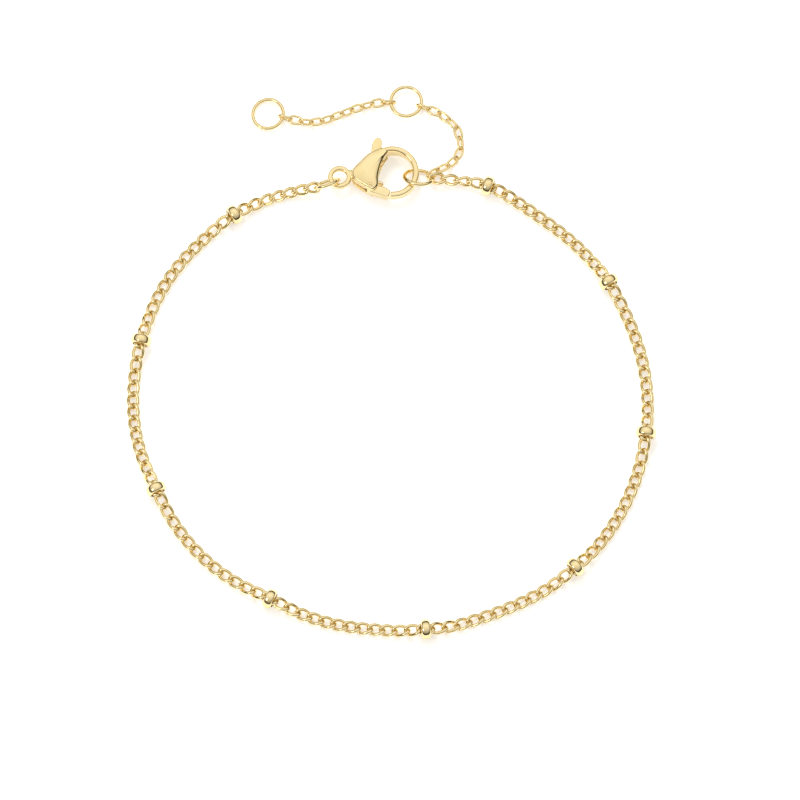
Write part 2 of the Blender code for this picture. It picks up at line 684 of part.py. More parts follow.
def main():
    clear_scene()
    gold = metal("polished_gold", (0.93, 0.76, 0.42), 0.16)
    root = bpy.data.objects.new("bracelet", None)
    bpy.context.scene.collection.objects.link(root)

    clasp_frame = bpy.data.objects.new("clasp_frame", None)
    bpy.context.scene.collection.objects.link(clasp_frame)
    clasp_frame.parent = root
    clasp_frame.location = (*CLASP_PLACE, CLASP_THICKNESS / 2)
    make_clasp_body(gold, clasp_frame)
    make_lever(gold, clasp_frame)

    propped = (FINE_WIDTH - EXTENSION_RING_WIRE) / 2
    prop_lean = math.asin(propped / (EXTENSION_RING_DIAMETER - EXTENSION_RING_WIRE))
    rings = {
        "clasp_ring": jump_ring(
            CLASP_RING_PLACE, CLASP_RING_DIAMETER, CLASP_RING_WIRE, ring_axes(CLASP_RING_HEADING, CLASP_RING_LEAN)
        ),
        "junction_ring": jump_ring(
            JUNCTION_RING_PLACE,
            JUNCTION_RING_DIAMETER,
            JUNCTION_RING_WIRE,
            ring_axes(JUNCTION_RING_HEADING, JUNCTION_RING_LEAN),
        ),
        "middle_ring": jump_ring(
            MIDDLE_RING_PLACE, EXTENSION_RING_DIAMETER, EXTENSION_RING_WIRE, ring_axes(0.0, 0.0), propped
        ),
        "end_ring": jump_ring(
            END_RING_PLACE, EXTENSION_RING_DIAMETER, EXTENSION_RING_WIRE, ring_axes(math.pi / 2, prop_lean)
        ),
    }
    for name, ring in rings.items():
        make_ring(name, ring, gold, root)

    holds, rolls, beads = loop_route(rings["clasp_ring"], rings["junction_ring"])
    half = beads[len(beads) // 2] + LINKS_PAST_BEAD
    make_curb_chain("chain_left", holds[: half + 1], rolls[:half], gold, root)
    make_curb_chain("chain_right", holds[half:], rolls[half:], gold, root)
    for i, bead in enumerate(beads):
        make_bead(f"bead_{i + 1}", holds[bead], holds[bead + 1], gold, root)

    inner = fine_route(INNER_ROUTE, rings["junction_ring"], rings["middle_ring"])
    make_fine_chain("extension_inner", *inner, gold, root)
    outer = fine_route(OUTER_ROUTE, rings["middle_ring"], rings["end_ring"])
    make_fine_chain("extension_outer", *outer, gold, root)
    centre_on_origin(root)


main()
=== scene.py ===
"""The looks of a chain bracelet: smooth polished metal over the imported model's links, beads, rings and clasp.

Metres, +Z up. The bracelet lies on the floor at z = 0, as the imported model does.
"""

import math

import bmesh
import bpy
import numpy as np
from bpy.props import FloatProperty, FloatVectorProperty, IntProperty, PointerProperty
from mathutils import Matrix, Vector


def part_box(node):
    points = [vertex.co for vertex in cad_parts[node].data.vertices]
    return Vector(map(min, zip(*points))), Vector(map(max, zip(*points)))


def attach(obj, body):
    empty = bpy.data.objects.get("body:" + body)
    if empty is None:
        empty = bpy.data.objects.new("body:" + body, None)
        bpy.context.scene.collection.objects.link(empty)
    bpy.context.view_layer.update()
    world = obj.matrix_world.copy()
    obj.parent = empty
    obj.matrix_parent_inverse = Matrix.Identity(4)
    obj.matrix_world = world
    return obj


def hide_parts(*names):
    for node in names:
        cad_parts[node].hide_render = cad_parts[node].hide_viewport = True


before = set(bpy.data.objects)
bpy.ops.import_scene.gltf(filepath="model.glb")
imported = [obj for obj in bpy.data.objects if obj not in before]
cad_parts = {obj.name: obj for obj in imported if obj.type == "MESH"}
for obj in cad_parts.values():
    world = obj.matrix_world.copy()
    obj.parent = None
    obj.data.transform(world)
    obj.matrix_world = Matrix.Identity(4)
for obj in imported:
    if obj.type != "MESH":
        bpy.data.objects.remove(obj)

bl_info = {
    "name": "Chain bracelet",
    "version": (1, 0, 0),
    "blender": (4, 5, 0),
    "location": "3D View > Sidebar > Bracelet",
    "description": "Builds the polished links, beads, jump rings and lobster clasp of a fine chain bracelet",
    "category": "Object",
}

MM = 0.001
TURN = 2 * math.pi
UP = np.array([0.0, 0.0, 1.0])

# Curb chain
LINK_PITCH = 1.405 * MM
LINK_WIRE = 0.41 * MM
LINK_WIDTH = 1.51 * MM
LINK_TWIST = math.radians(-45)
LINK_SQUARENESS = 2.3
LINK_LIE = 0.435
WIRE_FACING = 0.6

# Ring beads
BEAD_DIAMETER = 2.26 * MM
BEAD_LENGTH = 1.05 * MM
BEAD_REACH = 4.2 * MM
BEAD_CROWN_POWER = 0.85

# Where each bead lies along the curb chain from the clasp's ring, in millimetres
BEAD_PLACES = [10.05, 28.7, 46.65, 65.2, 83.1, 101.5, 119.5, 138.15, 156.05]

# Extension chain
FINE_PITCH = 1.24 * MM
FINE_WIRE = 0.3 * MM
FINE_WIDTH = 1.24 * MM
FINE_SLACK = 0.05 * MM
FINE_SQUARENESS = 2.3
FINE_LEAN = math.radians(25)
FINE_REACH = 3.7 * MM

# Jump rings
CLASP_RING_DIAMETER = 3.2 * MM
CLASP_RING_WIRE = 0.43 * MM
JUNCTION_RING_DIAMETER = 3.7 * MM
JUNCTION_RING_WIRE = 0.46 * MM
EXTENSION_RING_DIAMETER = 3.9 * MM
EXTENSION_RING_WIRE = 0.43 * MM
RING_PLAY = 0.1 * MM
CLASP_RING_HEADING = math.radians(22)
CLASP_RING_LEAN = math.radians(62)
JUNCTION_RING_HEADING = math.radians(-7.6)
JUNCTION_RING_LEAN = math.radians(42.4)

# A jump ring's cut ends, as shares of its wire: length of the rounded edge and width of the cut face
CUT_ROUNDING = 0.12
CUT_SIZE = 0.86

# Clasp, in its own frame: x from the eye's middle to the hook, y towards the thumb tab
CLASP_THICKNESS = 2.6 * MM
PLATE_THICKNESS = 0.45 * MM
HOUSING_START = 1.4 * MM
HOUSING_LENGTH = 4.03 * MM
HOUSING_HEIGHT = 5.0 * MM
EYE_DIAMETER = 2.7 * MM
EYE_HOLE = 1.5 * MM
EYE_THICKNESS = 0.75 * MM
EYE_SQUARENESS = 3
NECK_WIDTH = 1.0 * MM
NECK_RISE = 0.32 * MM
NECK_INSIDE_EYE = 0.4 * MM
NECK_INSIDE_HOUSING = 0.7 * MM
NECK_FLARE = (0.35 * MM, 0.38 * MM)
NECK_SHARE = 0.46
NECK_SQUARENESS = 3.6
HOOK_REACH = 0.57 * MM
HOOK_CENTRE = (HOUSING_START + HOUSING_LENGTH + HOOK_REACH, 0.1 * HOUSING_HEIGHT)
HOOK_HALF_LENGTH = 2.6 * MM
HOOK_HALF_WIDTH = 2.66 * MM
HOOK_BAND = 0.74 * MM
HOOK_ROOT_THICKNESS = 2.2 * MM
HOOK_TIP_THICKNESS = 1.28 * MM
HOOK_TAPER = 0.42
HOOK_SQUARENESS = 3.4
HOOK_END_SIZE = 0.9
HOOK_START = math.radians(112)
SEAM_GAP = 0.09 * MM
SEAM_SEARCH = 0.6
PIVOT = (HOUSING_START + 0.496 * HOUSING_LENGTH, -0.25 * HOUSING_HEIGHT)
LEVER_THICKNESS = 1.36 * MM
LEVER_TIP = 2.4 * MM

# Where things lie in plan, from the middle of the loop
CLASP_PLACE = (-5.9 * MM, 26.4 * MM)
CLASP_RING_PLACE = (-7.35 * MM, 25.65 * MM)
JUNCTION_RING_PLACE = (3.0 * MM, 26.4 * MM)
MIDDLE_RING_PLACE = (1.6 * MM, 35.7 * MM)
END_RING_PLACE = (-14.0 * MM, 34.3 * MM)

# Chosen points of each chain's route in plan, in millimetres, between the rings that hold its ends
LOOP_ROUTE = [
    (-12.8, 24.4), (-17.7, 22.1), (-21.7, 18.8), (-25.3, 14.3), (-28.2, 6.9), (-29.0, 0.2), (-28.4, -4.8),
    (-26.4, -10.2), (-23.0, -16.0), (-18.9, -20.0), (-13.4, -23.2), (-7.2, -25.7), (-1.0, -26.6), (3.6, -26.7),
    (9.9, -25.2), (15.0, -23.1), (20.4, -19.5), (24.4, -14.8), (27.0, -9.6), (28.4, -3.8), (28.5, 2.0),
    (26.6, 9.6), (24.3, 14.1), (20.4, 18.9), (16.0, 22.4), (11.0, 25.4), (7.3, 26.2),
]
INNER_ROUTE = [(5.6, 27.7), (6.7, 28.3), (7.6, 29.5), (7.7, 31.2), (7.2, 32.7), (5.9, 33.9), (4.5, 34.7)]
OUTER_ROUTE = [(-1.9, 35.5), (-3.4, 35.1), (-6.0, 34.1), (-7.5, 33.5), (-9.1, 33.2), (-10.6, 33.4)]

# Roll of the curb chain about its own line: links from the nearer end of the chain, and degrees
START_ROLLS = [(2, -55), (4, -50), (6, -12), (8, 0)]
END_ROLLS = [(2, -70), (4, -30), (7, 0)]

# Where a ring's wire passes through a curb link, as a share of the link's half length
RING_SHARE = 0.45
SETTLING_PASSES = 3
ROUTE_STEPS = 4000

# The chain's two nodes meet this many links past the middle bead
LINKS_PAST_BEAD = 3

# Outline of the clasp's housing, as shares of its length and height, in two smooth runs between sharp corners
HOUSING_FRONT_RUN = [(0.57, -0.38), (0.707, -0.26), (0.72, -0.06), (0.765, 0.16), (0.86, 0.37), (1.00, 0.54)]
HOUSING_BACK_RUN = [
    (1.00, 0.54), (0.94, 0.64), (0.68, 0.61), (0.44, 0.51), (0.19, 0.31),
    (-0.01, 0.08), (0.02, -0.06), (0.25, -0.225), (0.57, -0.38),
]
HOUSING_MIDDLE = (0.5, 0.12)

# Outline of the lever from its pivot, as shares of the hook's half length and half width
LEVER_ARM = [(0.42, -0.375), (0.66, -0.455)]
LEVER_INNER = [(0.62, -0.04), (0.50, -0.005), (0.40, 0.005), (0.345, 0.05)]
LEVER_HEEL = [
    (0.39, 0.105), (0.50, 0.10), (0.575, 0.055), (0.60, 0.09), (0.56, 0.16), (0.46, 0.215), (0.34, 0.24),
]
LEVER_BAR = [(0.26, 0.55), (0.28, 1.08), (0.45, 1.60), (0.53, 1.92)]
LEVER_TAB = [(0.50, 2.09), (0.39, 2.18), (0.25, 2.14), (0.13, 1.99), (0.08, 1.80)]
LEVER_BACK = [(0.05, 1.60), (-0.08, 1.05), (-0.155, 0.50), (-0.165, 0.05)]
LEVER_KNUCKLE = [(-0.11, -0.15), (0.04, -0.26), (0.20, -0.31)]

# Inside the clasp: walls between the plates, as heights and stretches of the housing's outline
WALL_THICKNESS = 0.4 * MM
WALL_GROOVE = (-0.34 * MM, 0.1 * MM)
WALL_OVERLAP = 0.1 * MM
WALL_ROUND = 0.03 * MM
KNUCKLE_ROOM = 0.48 * MM
RIM_HEIGHT = 0.4 * MM
RIM_ARC = math.radians(75)
RIM_NARROWING = 0.35
RIM_LOWERING = 0.7
PLATE_LIFT = 0.45 * MM
BASE_SHARES = (0.0, 0.3, 0.5, 0.7, 0.85)
TOP_SHARES = (0.985, 0.95, 0.9, 0.8, 0.65, 0.5, 0.35, 0.2, 0.1, 0.0)
BACK_SPREAD = 0.16 * MM
CORNER_BLOCK = [(0.86, 0.42), (0.965, 0.525), (0.93, 0.61), (0.85, 0.60)]
UNDER_RIM = 0.06 * MM
RIVET_RISE = 0.09 * MM
RIVET_DIMPLE = 0.7
RIVET_DIMPLE_WIDTH = 0.5
RIVET_DEPTH = 0.2 * MM
RIVET_SEAT = 0.35

# Detail of the smooth surfaces, as points round them
LINK_SIDES = 12
BEAD_STEPS = 56
BEAD_SIDES = 20
RING_STEPS = 72
RING_SIDES = 20
CLASP_STEPS = 96
CLASP_SIDES = 32
NECK_STEPS = 24
RIVET_STEPS = 40
RIVET_SIDES = 14
RUN_STEPS = 400
WALL_STEPS = 1200
WALL_SPACING = 8
SEAM_TRIES = 4001
SHARP_EDGE = math.radians(50)
WELD = 1e-8

# Points of each outline, and how many times they are averaged to soften its corners
OUTLINE_DETAIL = {"plate": (320, 5), "lever": (320, 4), "block": (48, 2), "wall": (160, 2)}

# Angle of each jump ring's seam from its level diameter
RING_SEAMS = {
    "clasp_ring": math.radians(200),
    "junction_ring": math.radians(75),
    "middle_ring": math.radians(95),
    "end_ring": math.radians(160),
}

# Finish
WEAR_SIZE = 2.5 * MM
WORN_ROUGHNESS = 0.05
SCRATCH_SIZE = 0.06 * MM
SCRATCH_HEIGHT = 0.0003 * MM
SCRATCH_TURN = (0.3, 0.2, 0.7)
SCRATCH_STRETCH = (1.0, 0.06, 1.0)
WEAR_RANGE = (0.35, 0.65)

# Waviness that casting and polishing leave in each material: size and height
WAVES = {
    "chain_gold": (0.6 * MM, 0.004 * MM),
    "bead_gold": (1.2 * MM, 0.006 * MM),
    "ring_gold": (1.0 * MM, 0.004 * MM),
    "cast_gold": (1.6 * MM, 0.02 * MM),
}

# Surroundings that the metal reflects: height from straight down, 0, to straight up, 1, and how bright it is
SKY_BANDS = [
    (0, 1.0), (0.46, 0.9), (0.5, 0.05), (0.63, 0.04), (0.72, 0.58), (0.82, 0.8), (0.94, 0.98), (1, 1.0),
]
SKY_STRENGTH = 1.17
SKY_TINT = (1.0, 0.985, 0.95)
NEAR_SHADE = 0.5
NEAR_RANGE = (-0.9, 0.5)

# Each soft light: its name, place, size and power, and whether the metal mirrors it
SOFT_LIGHTS = [
    ("back_light", (-0.12, 0.36, 0.42), 0.26, 1.5, False),
    ("left_light", (-0.34, -0.22, 0.38), 0.16, 0.36, True),
]
FLOOR_GLOW = 0.34
FLOOR_SIZE = 3.0
FLOOR_ROUGHNESS = 0.9
FLOOR_SHEEN = 0.1
MOTTLE_SCALE = 40.0
MOTTLE_SHADE = 0.995

# Camera: the photograph's angle, and the pixel and size that the loop's middle has in it
PHOTO_PIXELS = 800
PIXEL = 0.112 * MM
CAMERA_ELEVATION = math.radians(72)
CAMERA_DISTANCE = 1.2
LOOP_MIDDLE_PIXEL = (392, 404)
SENSOR_WIDTH = 36.0


def unit(vectors):
    return vectors / np.linalg.norm(vectors, axis=-1, keepdims=True)


def smooth_through(points, steps):
    """Close points along a route: the natural cubic spline through its points, in even steps of the chord length."""
    points = np.asarray(points, float)
    gaps = np.linalg.norm(np.diff(points, axis=0), axis=1)
    run = np.concatenate([[0.0], np.cumsum(gaps)])
    slopes = np.diff(points, axis=0) / gaps[:, None]
    inside = np.arange(1, len(points) - 1)
    matrix = np.eye(len(points))
    matrix[inside, inside - 1] = gaps[:-1]
    matrix[inside, inside] = 2 * (gaps[:-1] + gaps[1:])
    matrix[inside, inside + 1] = gaps[1:]
    right = np.zeros_like(points)
    right[inside] = 6 * np.diff(slopes, axis=0)
    bend = np.linalg.solve(matrix, right)
    at = np.linspace(0, run[-1], steps + 1)
    k = np.clip(np.searchsorted(run, at, side="right") - 1, 0, len(points) - 2)
    gap = gaps[k][:, None]
    b = (at - run[k])[:, None] / gap
    a = 1 - b
    curve = a * points[k] + b * points[k + 1]
    return curve + ((a**3 - a) * bend[k] + (b**3 - b) * bend[k + 1]) * gap**2 / 6


def run_along(curve):
    return np.concatenate([[0.0], np.cumsum(np.linalg.norm(np.diff(curve, axis=0), axis=1))])


def points_at(curve, at):
    """The curve's points at these distances along it."""
    run = run_along(curve)
    return np.stack([np.interp(at, run, curve[:, i]) for i in range(curve.shape[1])], axis=1)


def evenly(curve, count):
    """Points that cut the curve into this many stretches of one length."""
    return points_at(curve, np.linspace(0, run_along(curve)[-1], count + 1))


def hump(distance, reach):
    """1 at distance 0, falling as half a cosine wave to 0 at the reach and beyond."""
    share = np.clip(np.abs(distance) / reach, 0, 1)
    return 0.5 + 0.5 * np.cos(math.pi * share)


def link_axes(start, end, rolls):
    """Each link's directions as rows: along the chain, across it (level before the roll), and their normal."""
    along = unit(end - start)
    level = unit(np.cross(UP, along))
    upright = np.cross(along, level)
    across = np.cos(rolls)[..., None] * level + np.sin(rolls)[..., None] * upright
    return np.stack([along, across, np.cross(along, across)], axis=-2)


def roll_across(start, end, wire_direction):
    """The roll that sets a link's level side square across a wire that it hangs on."""
    axes = link_axes(start, end, np.array(0.0))
    square = np.cross(axes[0], wire_direction)
    return math.atan2(square @ axes[2], square @ axes[1])


def nearest_turn(angle, wanted, step):
    """The angle, a whole number of steps away, that comes nearest to the wanted one."""
    return angle + step * round((wanted - angle) / step)


def ring_axes(heading, lean):
    """A leaning ring's two directions: along its level diameter, and down its leaning one."""
    level = np.array([math.cos(heading), math.sin(heading), 0.0])
    aside = np.array([-math.sin(heading), math.cos(heading), 0.0])
    return level, math.cos(lean) * aside - math.sin(lean) * UP


def jump_ring(place, diameter, wire, axes, lift=0.0):
    """The middle, directions, radius and wire of a ring whose lowest point is lifted this much off the surface."""
    radius = (diameter - wire) / 2
    drop = radius * math.hypot(axes[0][2], axes[1][2])
    return np.array([*place, lift + drop + wire / 2]), axes, radius, wire


def all_rings():
    """The four jump rings as they lie, by name."""
    propped = (FINE_WIDTH - EXTENSION_RING_WIRE) / 2
    prop_lean = math.asin(propped / (EXTENSION_RING_DIAMETER - EXTENSION_RING_WIRE))
    clasp_axes = ring_axes(CLASP_RING_HEADING, CLASP_RING_LEAN)
    junction_axes = ring_axes(JUNCTION_RING_HEADING, JUNCTION_RING_LEAN)
    junction = JUNCTION_RING_DIAMETER, JUNCTION_RING_WIRE
    fine = EXTENSION_RING_DIAMETER, EXTENSION_RING_WIRE
    return {
        "clasp_ring": jump_ring(CLASP_RING_PLACE, CLASP_RING_DIAMETER, CLASP_RING_WIRE, clasp_axes),
        "junction_ring": jump_ring(JUNCTION_RING_PLACE, *junction, junction_axes),
        "middle_ring": jump_ring(MIDDLE_RING_PLACE, *fine, ring_axes(0.0, 0.0), propped),
        "end_ring": jump_ring(END_RING_PLACE, *fine, ring_axes(math.pi / 2, prop_lean)),
    }


def frame_shift():
    """From the middle of the loop to the frame's origin: where the middle ring lies, less its place."""
    low, high = (np.array(corner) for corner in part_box("middle_ring"))
    return (low + high) / 2 - all_rings()["middle_ring"][0]


def hanger(ring, toward, height):
    """Where a chain pulled toward a point of its route hangs on a ring: point, wire direction and setback."""
    middle, axes, radius, wire = ring
    pull = np.array([toward[0] * MM, toward[1] * MM, height]) - middle
    angle = math.atan2(pull @ axes[1], pull @ axes[0])
    point = middle + radius * (math.cos(angle) * axes[0] + math.sin(angle) * axes[1])
    return point, math.cos(angle) * axes[1] - math.sin(angle) * axes[0], wire / 2 + RING_PLAY


def plan_between(start, route, end):
    """The chain's curve in plan, from behind one ring's wire, through its route, to behind the other's."""
    route = np.array(route) * MM
    first = start[0][:2] + start[2] * unit(start[0][:2] - route[0])
    last = end[0][:2] + end[2] * unit(end[0][:2] - route[-1])
    return smooth_through([first, *route, last], ROUTE_STEPS)


def hung(points, height, start, end):
    """Hold points over these points of the plan, with each end link in line with its ring's wire."""
    holds = np.concatenate([points, height[:, None]], axis=1)
    for tip, neighbour, (point, _, setback) in ((0, 1, start), (-1, -2, end)):
        holds[tip] = point + setback * unit(point - holds[neighbour])
    return holds


def loop_route(rings):
    """Hold points and rolls of the curb chain, and the number of the link that carries each bead."""
    start = hanger(rings["clasp_ring"], LOOP_ROUTE[0], LINK_WIDTH / 2)
    end = hanger(rings["junction_ring"], LOOP_ROUTE[-1], LINK_WIDTH / 2)
    curve = plan_between(start, LOOP_ROUTE, end)
    length = run_along(curve)[-1]
    count = round(length / LINK_PITCH)
    places = np.array(BEAD_PLACES) * MM
    beads = [round(place * count / length - 0.5) for place in places]
    at = np.interp(np.arange(count + 1), [0, *(bead + 0.5 for bead in beads), count], [0, *places, length])
    points = points_at(curve, at)
    flat = LINK_WIRE / 2 + LINK_LIE * (LINK_WIDTH - LINK_WIRE) / 2
    number = np.arange(count)
    rolls = np.zeros(count)
    for _ in range(SETTLING_PASSES):
        turned = np.abs(np.sin(np.append(rolls, rolls[-1])))
        lie = flat + (LINK_WIDTH / 2 - flat) * turned
        height = lie.copy()
        for place in places:
            height += (BEAD_DIAMETER / 2 - lie) * hump(at - place, BEAD_REACH)
        height += (start[0][2] - lie) * hump(at, BEAD_REACH)
        height += (end[0][2] - lie) * hump(at[-1] - at, BEAD_REACH)
        for bead in beads:
            height[bead : bead + 2] = BEAD_DIAMETER / 2
        holds = hung(points, height, start, end)
        start_roll = roll_across(holds[0], holds[1], start[1]) + RING_SHARE * LINK_TWIST
        end_roll = roll_across(holds[-2], holds[-1], end[1]) - RING_SHARE * LINK_TWIST
        starting = (nearest_turn(start_roll, 0.0, math.pi), *np.radians([turn for _, turn in START_ROLLS]))
        ending = (nearest_turn(end_roll, -math.pi / 2, math.pi), *np.radians([turn for _, turn in END_ROLLS]))
        rolls = np.interp(number, (0, *(links for links, _ in START_ROLLS)), starting)
        rolls += np.interp(count - 1 - number, (0, *(links for links, _ in END_ROLLS)), ending)
    return holds, rolls, beads


def fine_route(route, start_ring, end_ring):
    """Hold points and rolls of a stretch of the extension chain between two rings."""
    start = hanger(start_ring, route[0], FINE_WIDTH / 2)
    end = hanger(end_ring, route[-1], FINE_WIDTH / 2)
    curve = plan_between(start, route, end)
    length = run_along(curve)[-1]
    count = round(length / FINE_PITCH)
    at = np.linspace(0, length, count + 1)
    points = points_at(curve, at)
    rolls = np.zeros(count)
    for _ in range(SETTLING_PASSES):
        stand = np.maximum(np.abs(np.sin(rolls)), np.abs(np.cos(rolls)))
        lie = (FINE_WIDTH - FINE_WIRE) / 2 * np.append(stand, stand[-1]) + FINE_WIRE / 2
        height = lie + (start[0][2] - lie) * hump(at, FINE_REACH)
        height += (end[0][2] - lie) * hump(at[-1] - at, FINE_REACH)
        holds = hung(points, height, start, end)
        start_roll = roll_across(holds[0], holds[1], start[1])
        end_roll = roll_across(holds[-2], holds[-1], end[1])
        end_roll = nearest_turn(end_roll, start_roll + math.pi / 2 * (count - 1), math.pi)
        rolls = np.linspace(start_roll, end_roll, count) + FINE_LEAN * np.sin(math.pi * np.linspace(0, 1, count))
    return holds, rolls


def rounded(angle, power):
    """The two coordinates of a superellipse of half size 1 at an angle: cosine and sine, each to this power."""
    cosine, sine = np.cos(angle), np.sin(angle)
    return np.sign(cosine) * np.abs(cosine) ** power, np.sign(sine) * np.abs(sine) ** power


def carried(centres, side, up, across, rise):
    """A section carried along a path: each point is centre + across * side + rise * up."""
    return centres[..., None, :] + across[..., None] * side[..., None, :] + rise[..., None] * up[..., None, :]


def link_shells(holds, rolls, wire, width, twist, squareness, slack, steps, sides):
    """Every link of a chain, one shell each.

    The wire's middle runs round a superellipse and turns about the link's length by the twist at each end.
    A circle of the wire's radius is carried along it. Each link is then set between two hold points.
    """
    start, end = holds[:-1], holds[1:]
    half = (np.linalg.norm(end - start, axis=1)[:, None] + wire + slack) / 2
    end_to_end, side_to_side = rounded(TURN * (np.arange(steps) + 0.5) / steps, 2 / squareness)
    x = half * end_to_end
    offset = (width - wire) / 2 * side_to_side * np.ones_like(x)
    turned = twist * end_to_end
    middle = np.stack([x, offset * np.cos(turned), offset * np.sin(turned)], axis=-1)
    along = unit(np.roll(middle, -1, axis=1) - np.roll(middle, 1, axis=1))
    inward = np.stack([-WIRE_FACING * x, -middle[..., 1], -middle[..., 2]], axis=-1)
    inward = unit(inward - (inward * along).sum(-1, keepdims=True) * along)
    around = TURN * np.arange(sides) / sides
    ones = np.ones((*x.shape, 1))
    radius = wire / 2
    in_by, aside_by = radius * np.cos(around) * ones, radius * np.sin(around) * ones
    shells = carried(middle, inward, np.cross(along, inward), in_by, aside_by)
    axes = link_axes(start, end, rolls)
    return np.einsum("lsvi,lij->lsvj", shells, axes) + ((start + end) / 2)[:, None, None, :]


def bead_shell(start, end, hole, steps, sides):
    """A ring bead: a half superellipse for its crown and a straight bore, turned about the chain's line."""
    axes = link_axes(start, end, np.array(0.0))
    bow = math.pi * np.arange(sides + 1) / sides
    along, out = rounded(bow, BEAD_CROWN_POWER)
    crown = hole / 2 + (BEAD_DIAMETER - hole) / 2 * out
    bore = np.linspace(-1, 1, 5)[1:-1]
    x = BEAD_LENGTH / 2 * np.concatenate([along, bore])
    radius = np.concatenate([crown, np.full(bore.shape, hole / 2)])
    angle = TURN * np.arange(steps) / steps
    outward = np.cos(angle)[:, None] * axes[1] + np.sin(angle)[:, None] * axes[2]
    return (start + end) / 2 + x[None, :, None] * axes[0] + radius[None, :, None] * outward[:, None, :]


def ring_shell(ring, seam, gap, steps, sides):
    """A jump ring: a circle of the wire's radius carried round the ring from one side of its seam to the other.

    Its first and last rows close to a point, and the rows beside them round the cut wire's edge.
    """
    middle, axes, radius, wire = ring
    edge = CUT_ROUNDING * wire / radius
    reach = np.linspace(seam + gap / 2 / radius, seam + TURN - gap / 2 / radius, steps)
    first, last = reach[0], reach[-1]
    angle = np.concatenate([[first, first, first + edge], reach[1:-1], [last - edge, last, last]])
    size = np.ones_like(angle)
    size[[0, -1]] = 0.0
    size[[1, -2]] = CUT_SIZE
    outward = np.cos(angle)[:, None] * axes[0] + np.sin(angle)[:, None] * axes[1]
    normal = np.broadcast_to(np.cross(axes[0], axes[1]), outward.shape)
    around = TURN * np.arange(sides) / sides
    section = wire / 2 * size[:, None]
    return carried(middle + radius * outward, outward, normal, section * np.cos(around), section * np.sin(around))


def closed_outline(runs, count, softening):
    """A closed outline through smooth runs that meet at corners, in even steps.

    Each point is then averaged with its neighbours as many times as the softening says, which rounds the corners.
    """
    curve = np.concatenate([smooth_through(run, RUN_STEPS)[:-1] for run in runs])
    outline = evenly(np.concatenate([curve, curve[:1]]), count)[:-1]
    for _ in range(softening):
        outline = (np.roll(outline, 1, axis=0) + 2 * outline + np.roll(outline, -1, axis=0)) / 4
    return outline


def outward_of(outline):
    """The outline's outward normals. Its points run counter-clockwise."""
    along = unit(np.roll(outline, -1, axis=0) - np.roll(outline, 1, axis=0))
    return np.stack([along[:, 1], -along[:, 0]], axis=1)


def moved_in(outline, by):
    """The outline moved in along its normals. Its points run counter-clockwise."""
    return outline - np.reshape(by, (-1, 1)) * outward_of(outline)


def slab_shell(outline, middle, low, high, low_edge, rim_width, rim_height, dome):
    """A slab with a rounded base edge, a sloping rim and a domed top.

    Rows run from the middle of its base to the middle of its top: out over the flat base, round a quarter
    circle, up the side, round a quarter of an ellipse that stops short of level, and in over the dome, whose
    fall grows with the cube of the distance from the middle. Where it faces the hook the slab is thin and its
    rim is a low straight slope.
    """
    towards_hook = np.clip(outward_of(outline)[:, 0], 0, 1)
    rim_width = rim_width * (1 - RIM_NARROWING * towards_hook)
    rim_height = rim_height * (1 - RIM_LOWERING * towards_hook)
    quarter = np.linspace(0, math.pi / 2, 5)
    lift = PLATE_LIFT * towards_hook
    rows = [(share, low_edge, low + lift * share**2) for share in BASE_SHARES]
    rows += [(1.0, low_edge * (1 - math.sin(t)), low + lift + low_edge * (1 - math.cos(t))) for t in quarter]
    rim = high - dome
    bow = np.linspace(0, RIM_ARC, 9)
    slope = np.linspace(0, 1, len(bow))[:, None]
    inset = ((1 - np.cos(bow)) / (1 - math.cos(RIM_ARC)))[:, None]
    rise = (np.sin(bow) / math.sin(RIM_ARC))[:, None]
    inset = rim_width * (inset + (slope - inset) * towards_hook)
    rise = rim_height * (rise + (slope - rise) * towards_hook - 1)
    rows += [(1.0, i, rim + z) for i, z in zip(inset, rise)]
    rows += [(share, rim_width, high - dome * share**3) for share in TOP_SHARES]
    shell = []
    for share, inset, height in rows:
        rim_points = middle + share * (moved_in(outline, inset) - middle)
        shell.append(np.column_stack([rim_points, np.broadcast_to(height, len(outline))]))
    return np.stack(shell)


def housing_points(shares):
    return np.array([HOUSING_START, 0.0]) + np.array(shares) * np.array([HOUSING_LENGTH, HOUSING_HEIGHT])


def eye_shell(steps, sides):
    """The clasp's eye: a squarish superellipse section turned about the hole's line."""
    out, rise = rounded(TURN * np.arange(sides) / sides, 2 / EYE_SQUARENESS)
    middle = (EYE_DIAMETER + EYE_HOLE) / 4
    radius = middle + (EYE_DIAMETER - EYE_HOLE) / 4 * out
    angle = TURN * np.arange(steps) / steps
    outward = np.column_stack([np.cos(angle), np.sin(angle), np.zeros(steps)])
    return radius[None, :, None] * outward[:, None, :] + (EYE_THICKNESS / 2 * rise)[None, :, None] * UP


def neck_shell(steps, sides):
    """The neck: a squarish section carried from the eye's rim into the housing, flaring as a quarter cosine."""
    share = np.linspace(0, 1, steps)
    flare = 1 - np.cos(math.pi / 2 * share)
    x = EYE_DIAMETER / 2 - NECK_INSIDE_EYE + share * (NECK_INSIDE_EYE + NECK_INSIDE_HOUSING)
    half_width = NECK_WIDTH / 2 + NECK_FLARE[0] * flare
    half_height = NECK_SHARE * EYE_THICKNESS + NECK_FLARE[1] * flare
    closing = np.ones(steps)
    closing[[0, -1]] = 0.0
    across, rise = rounded(TURN * (np.arange(sides) + 0.5) / sides, 2 / NECK_SQUARENESS)
    y = NECK_RISE + (closing * half_width)[:, None] * across
    z = (closing * half_height)[:, None] * rise
    return np.stack([np.repeat(x[:, None], sides, axis=1), y, z], axis=-1)


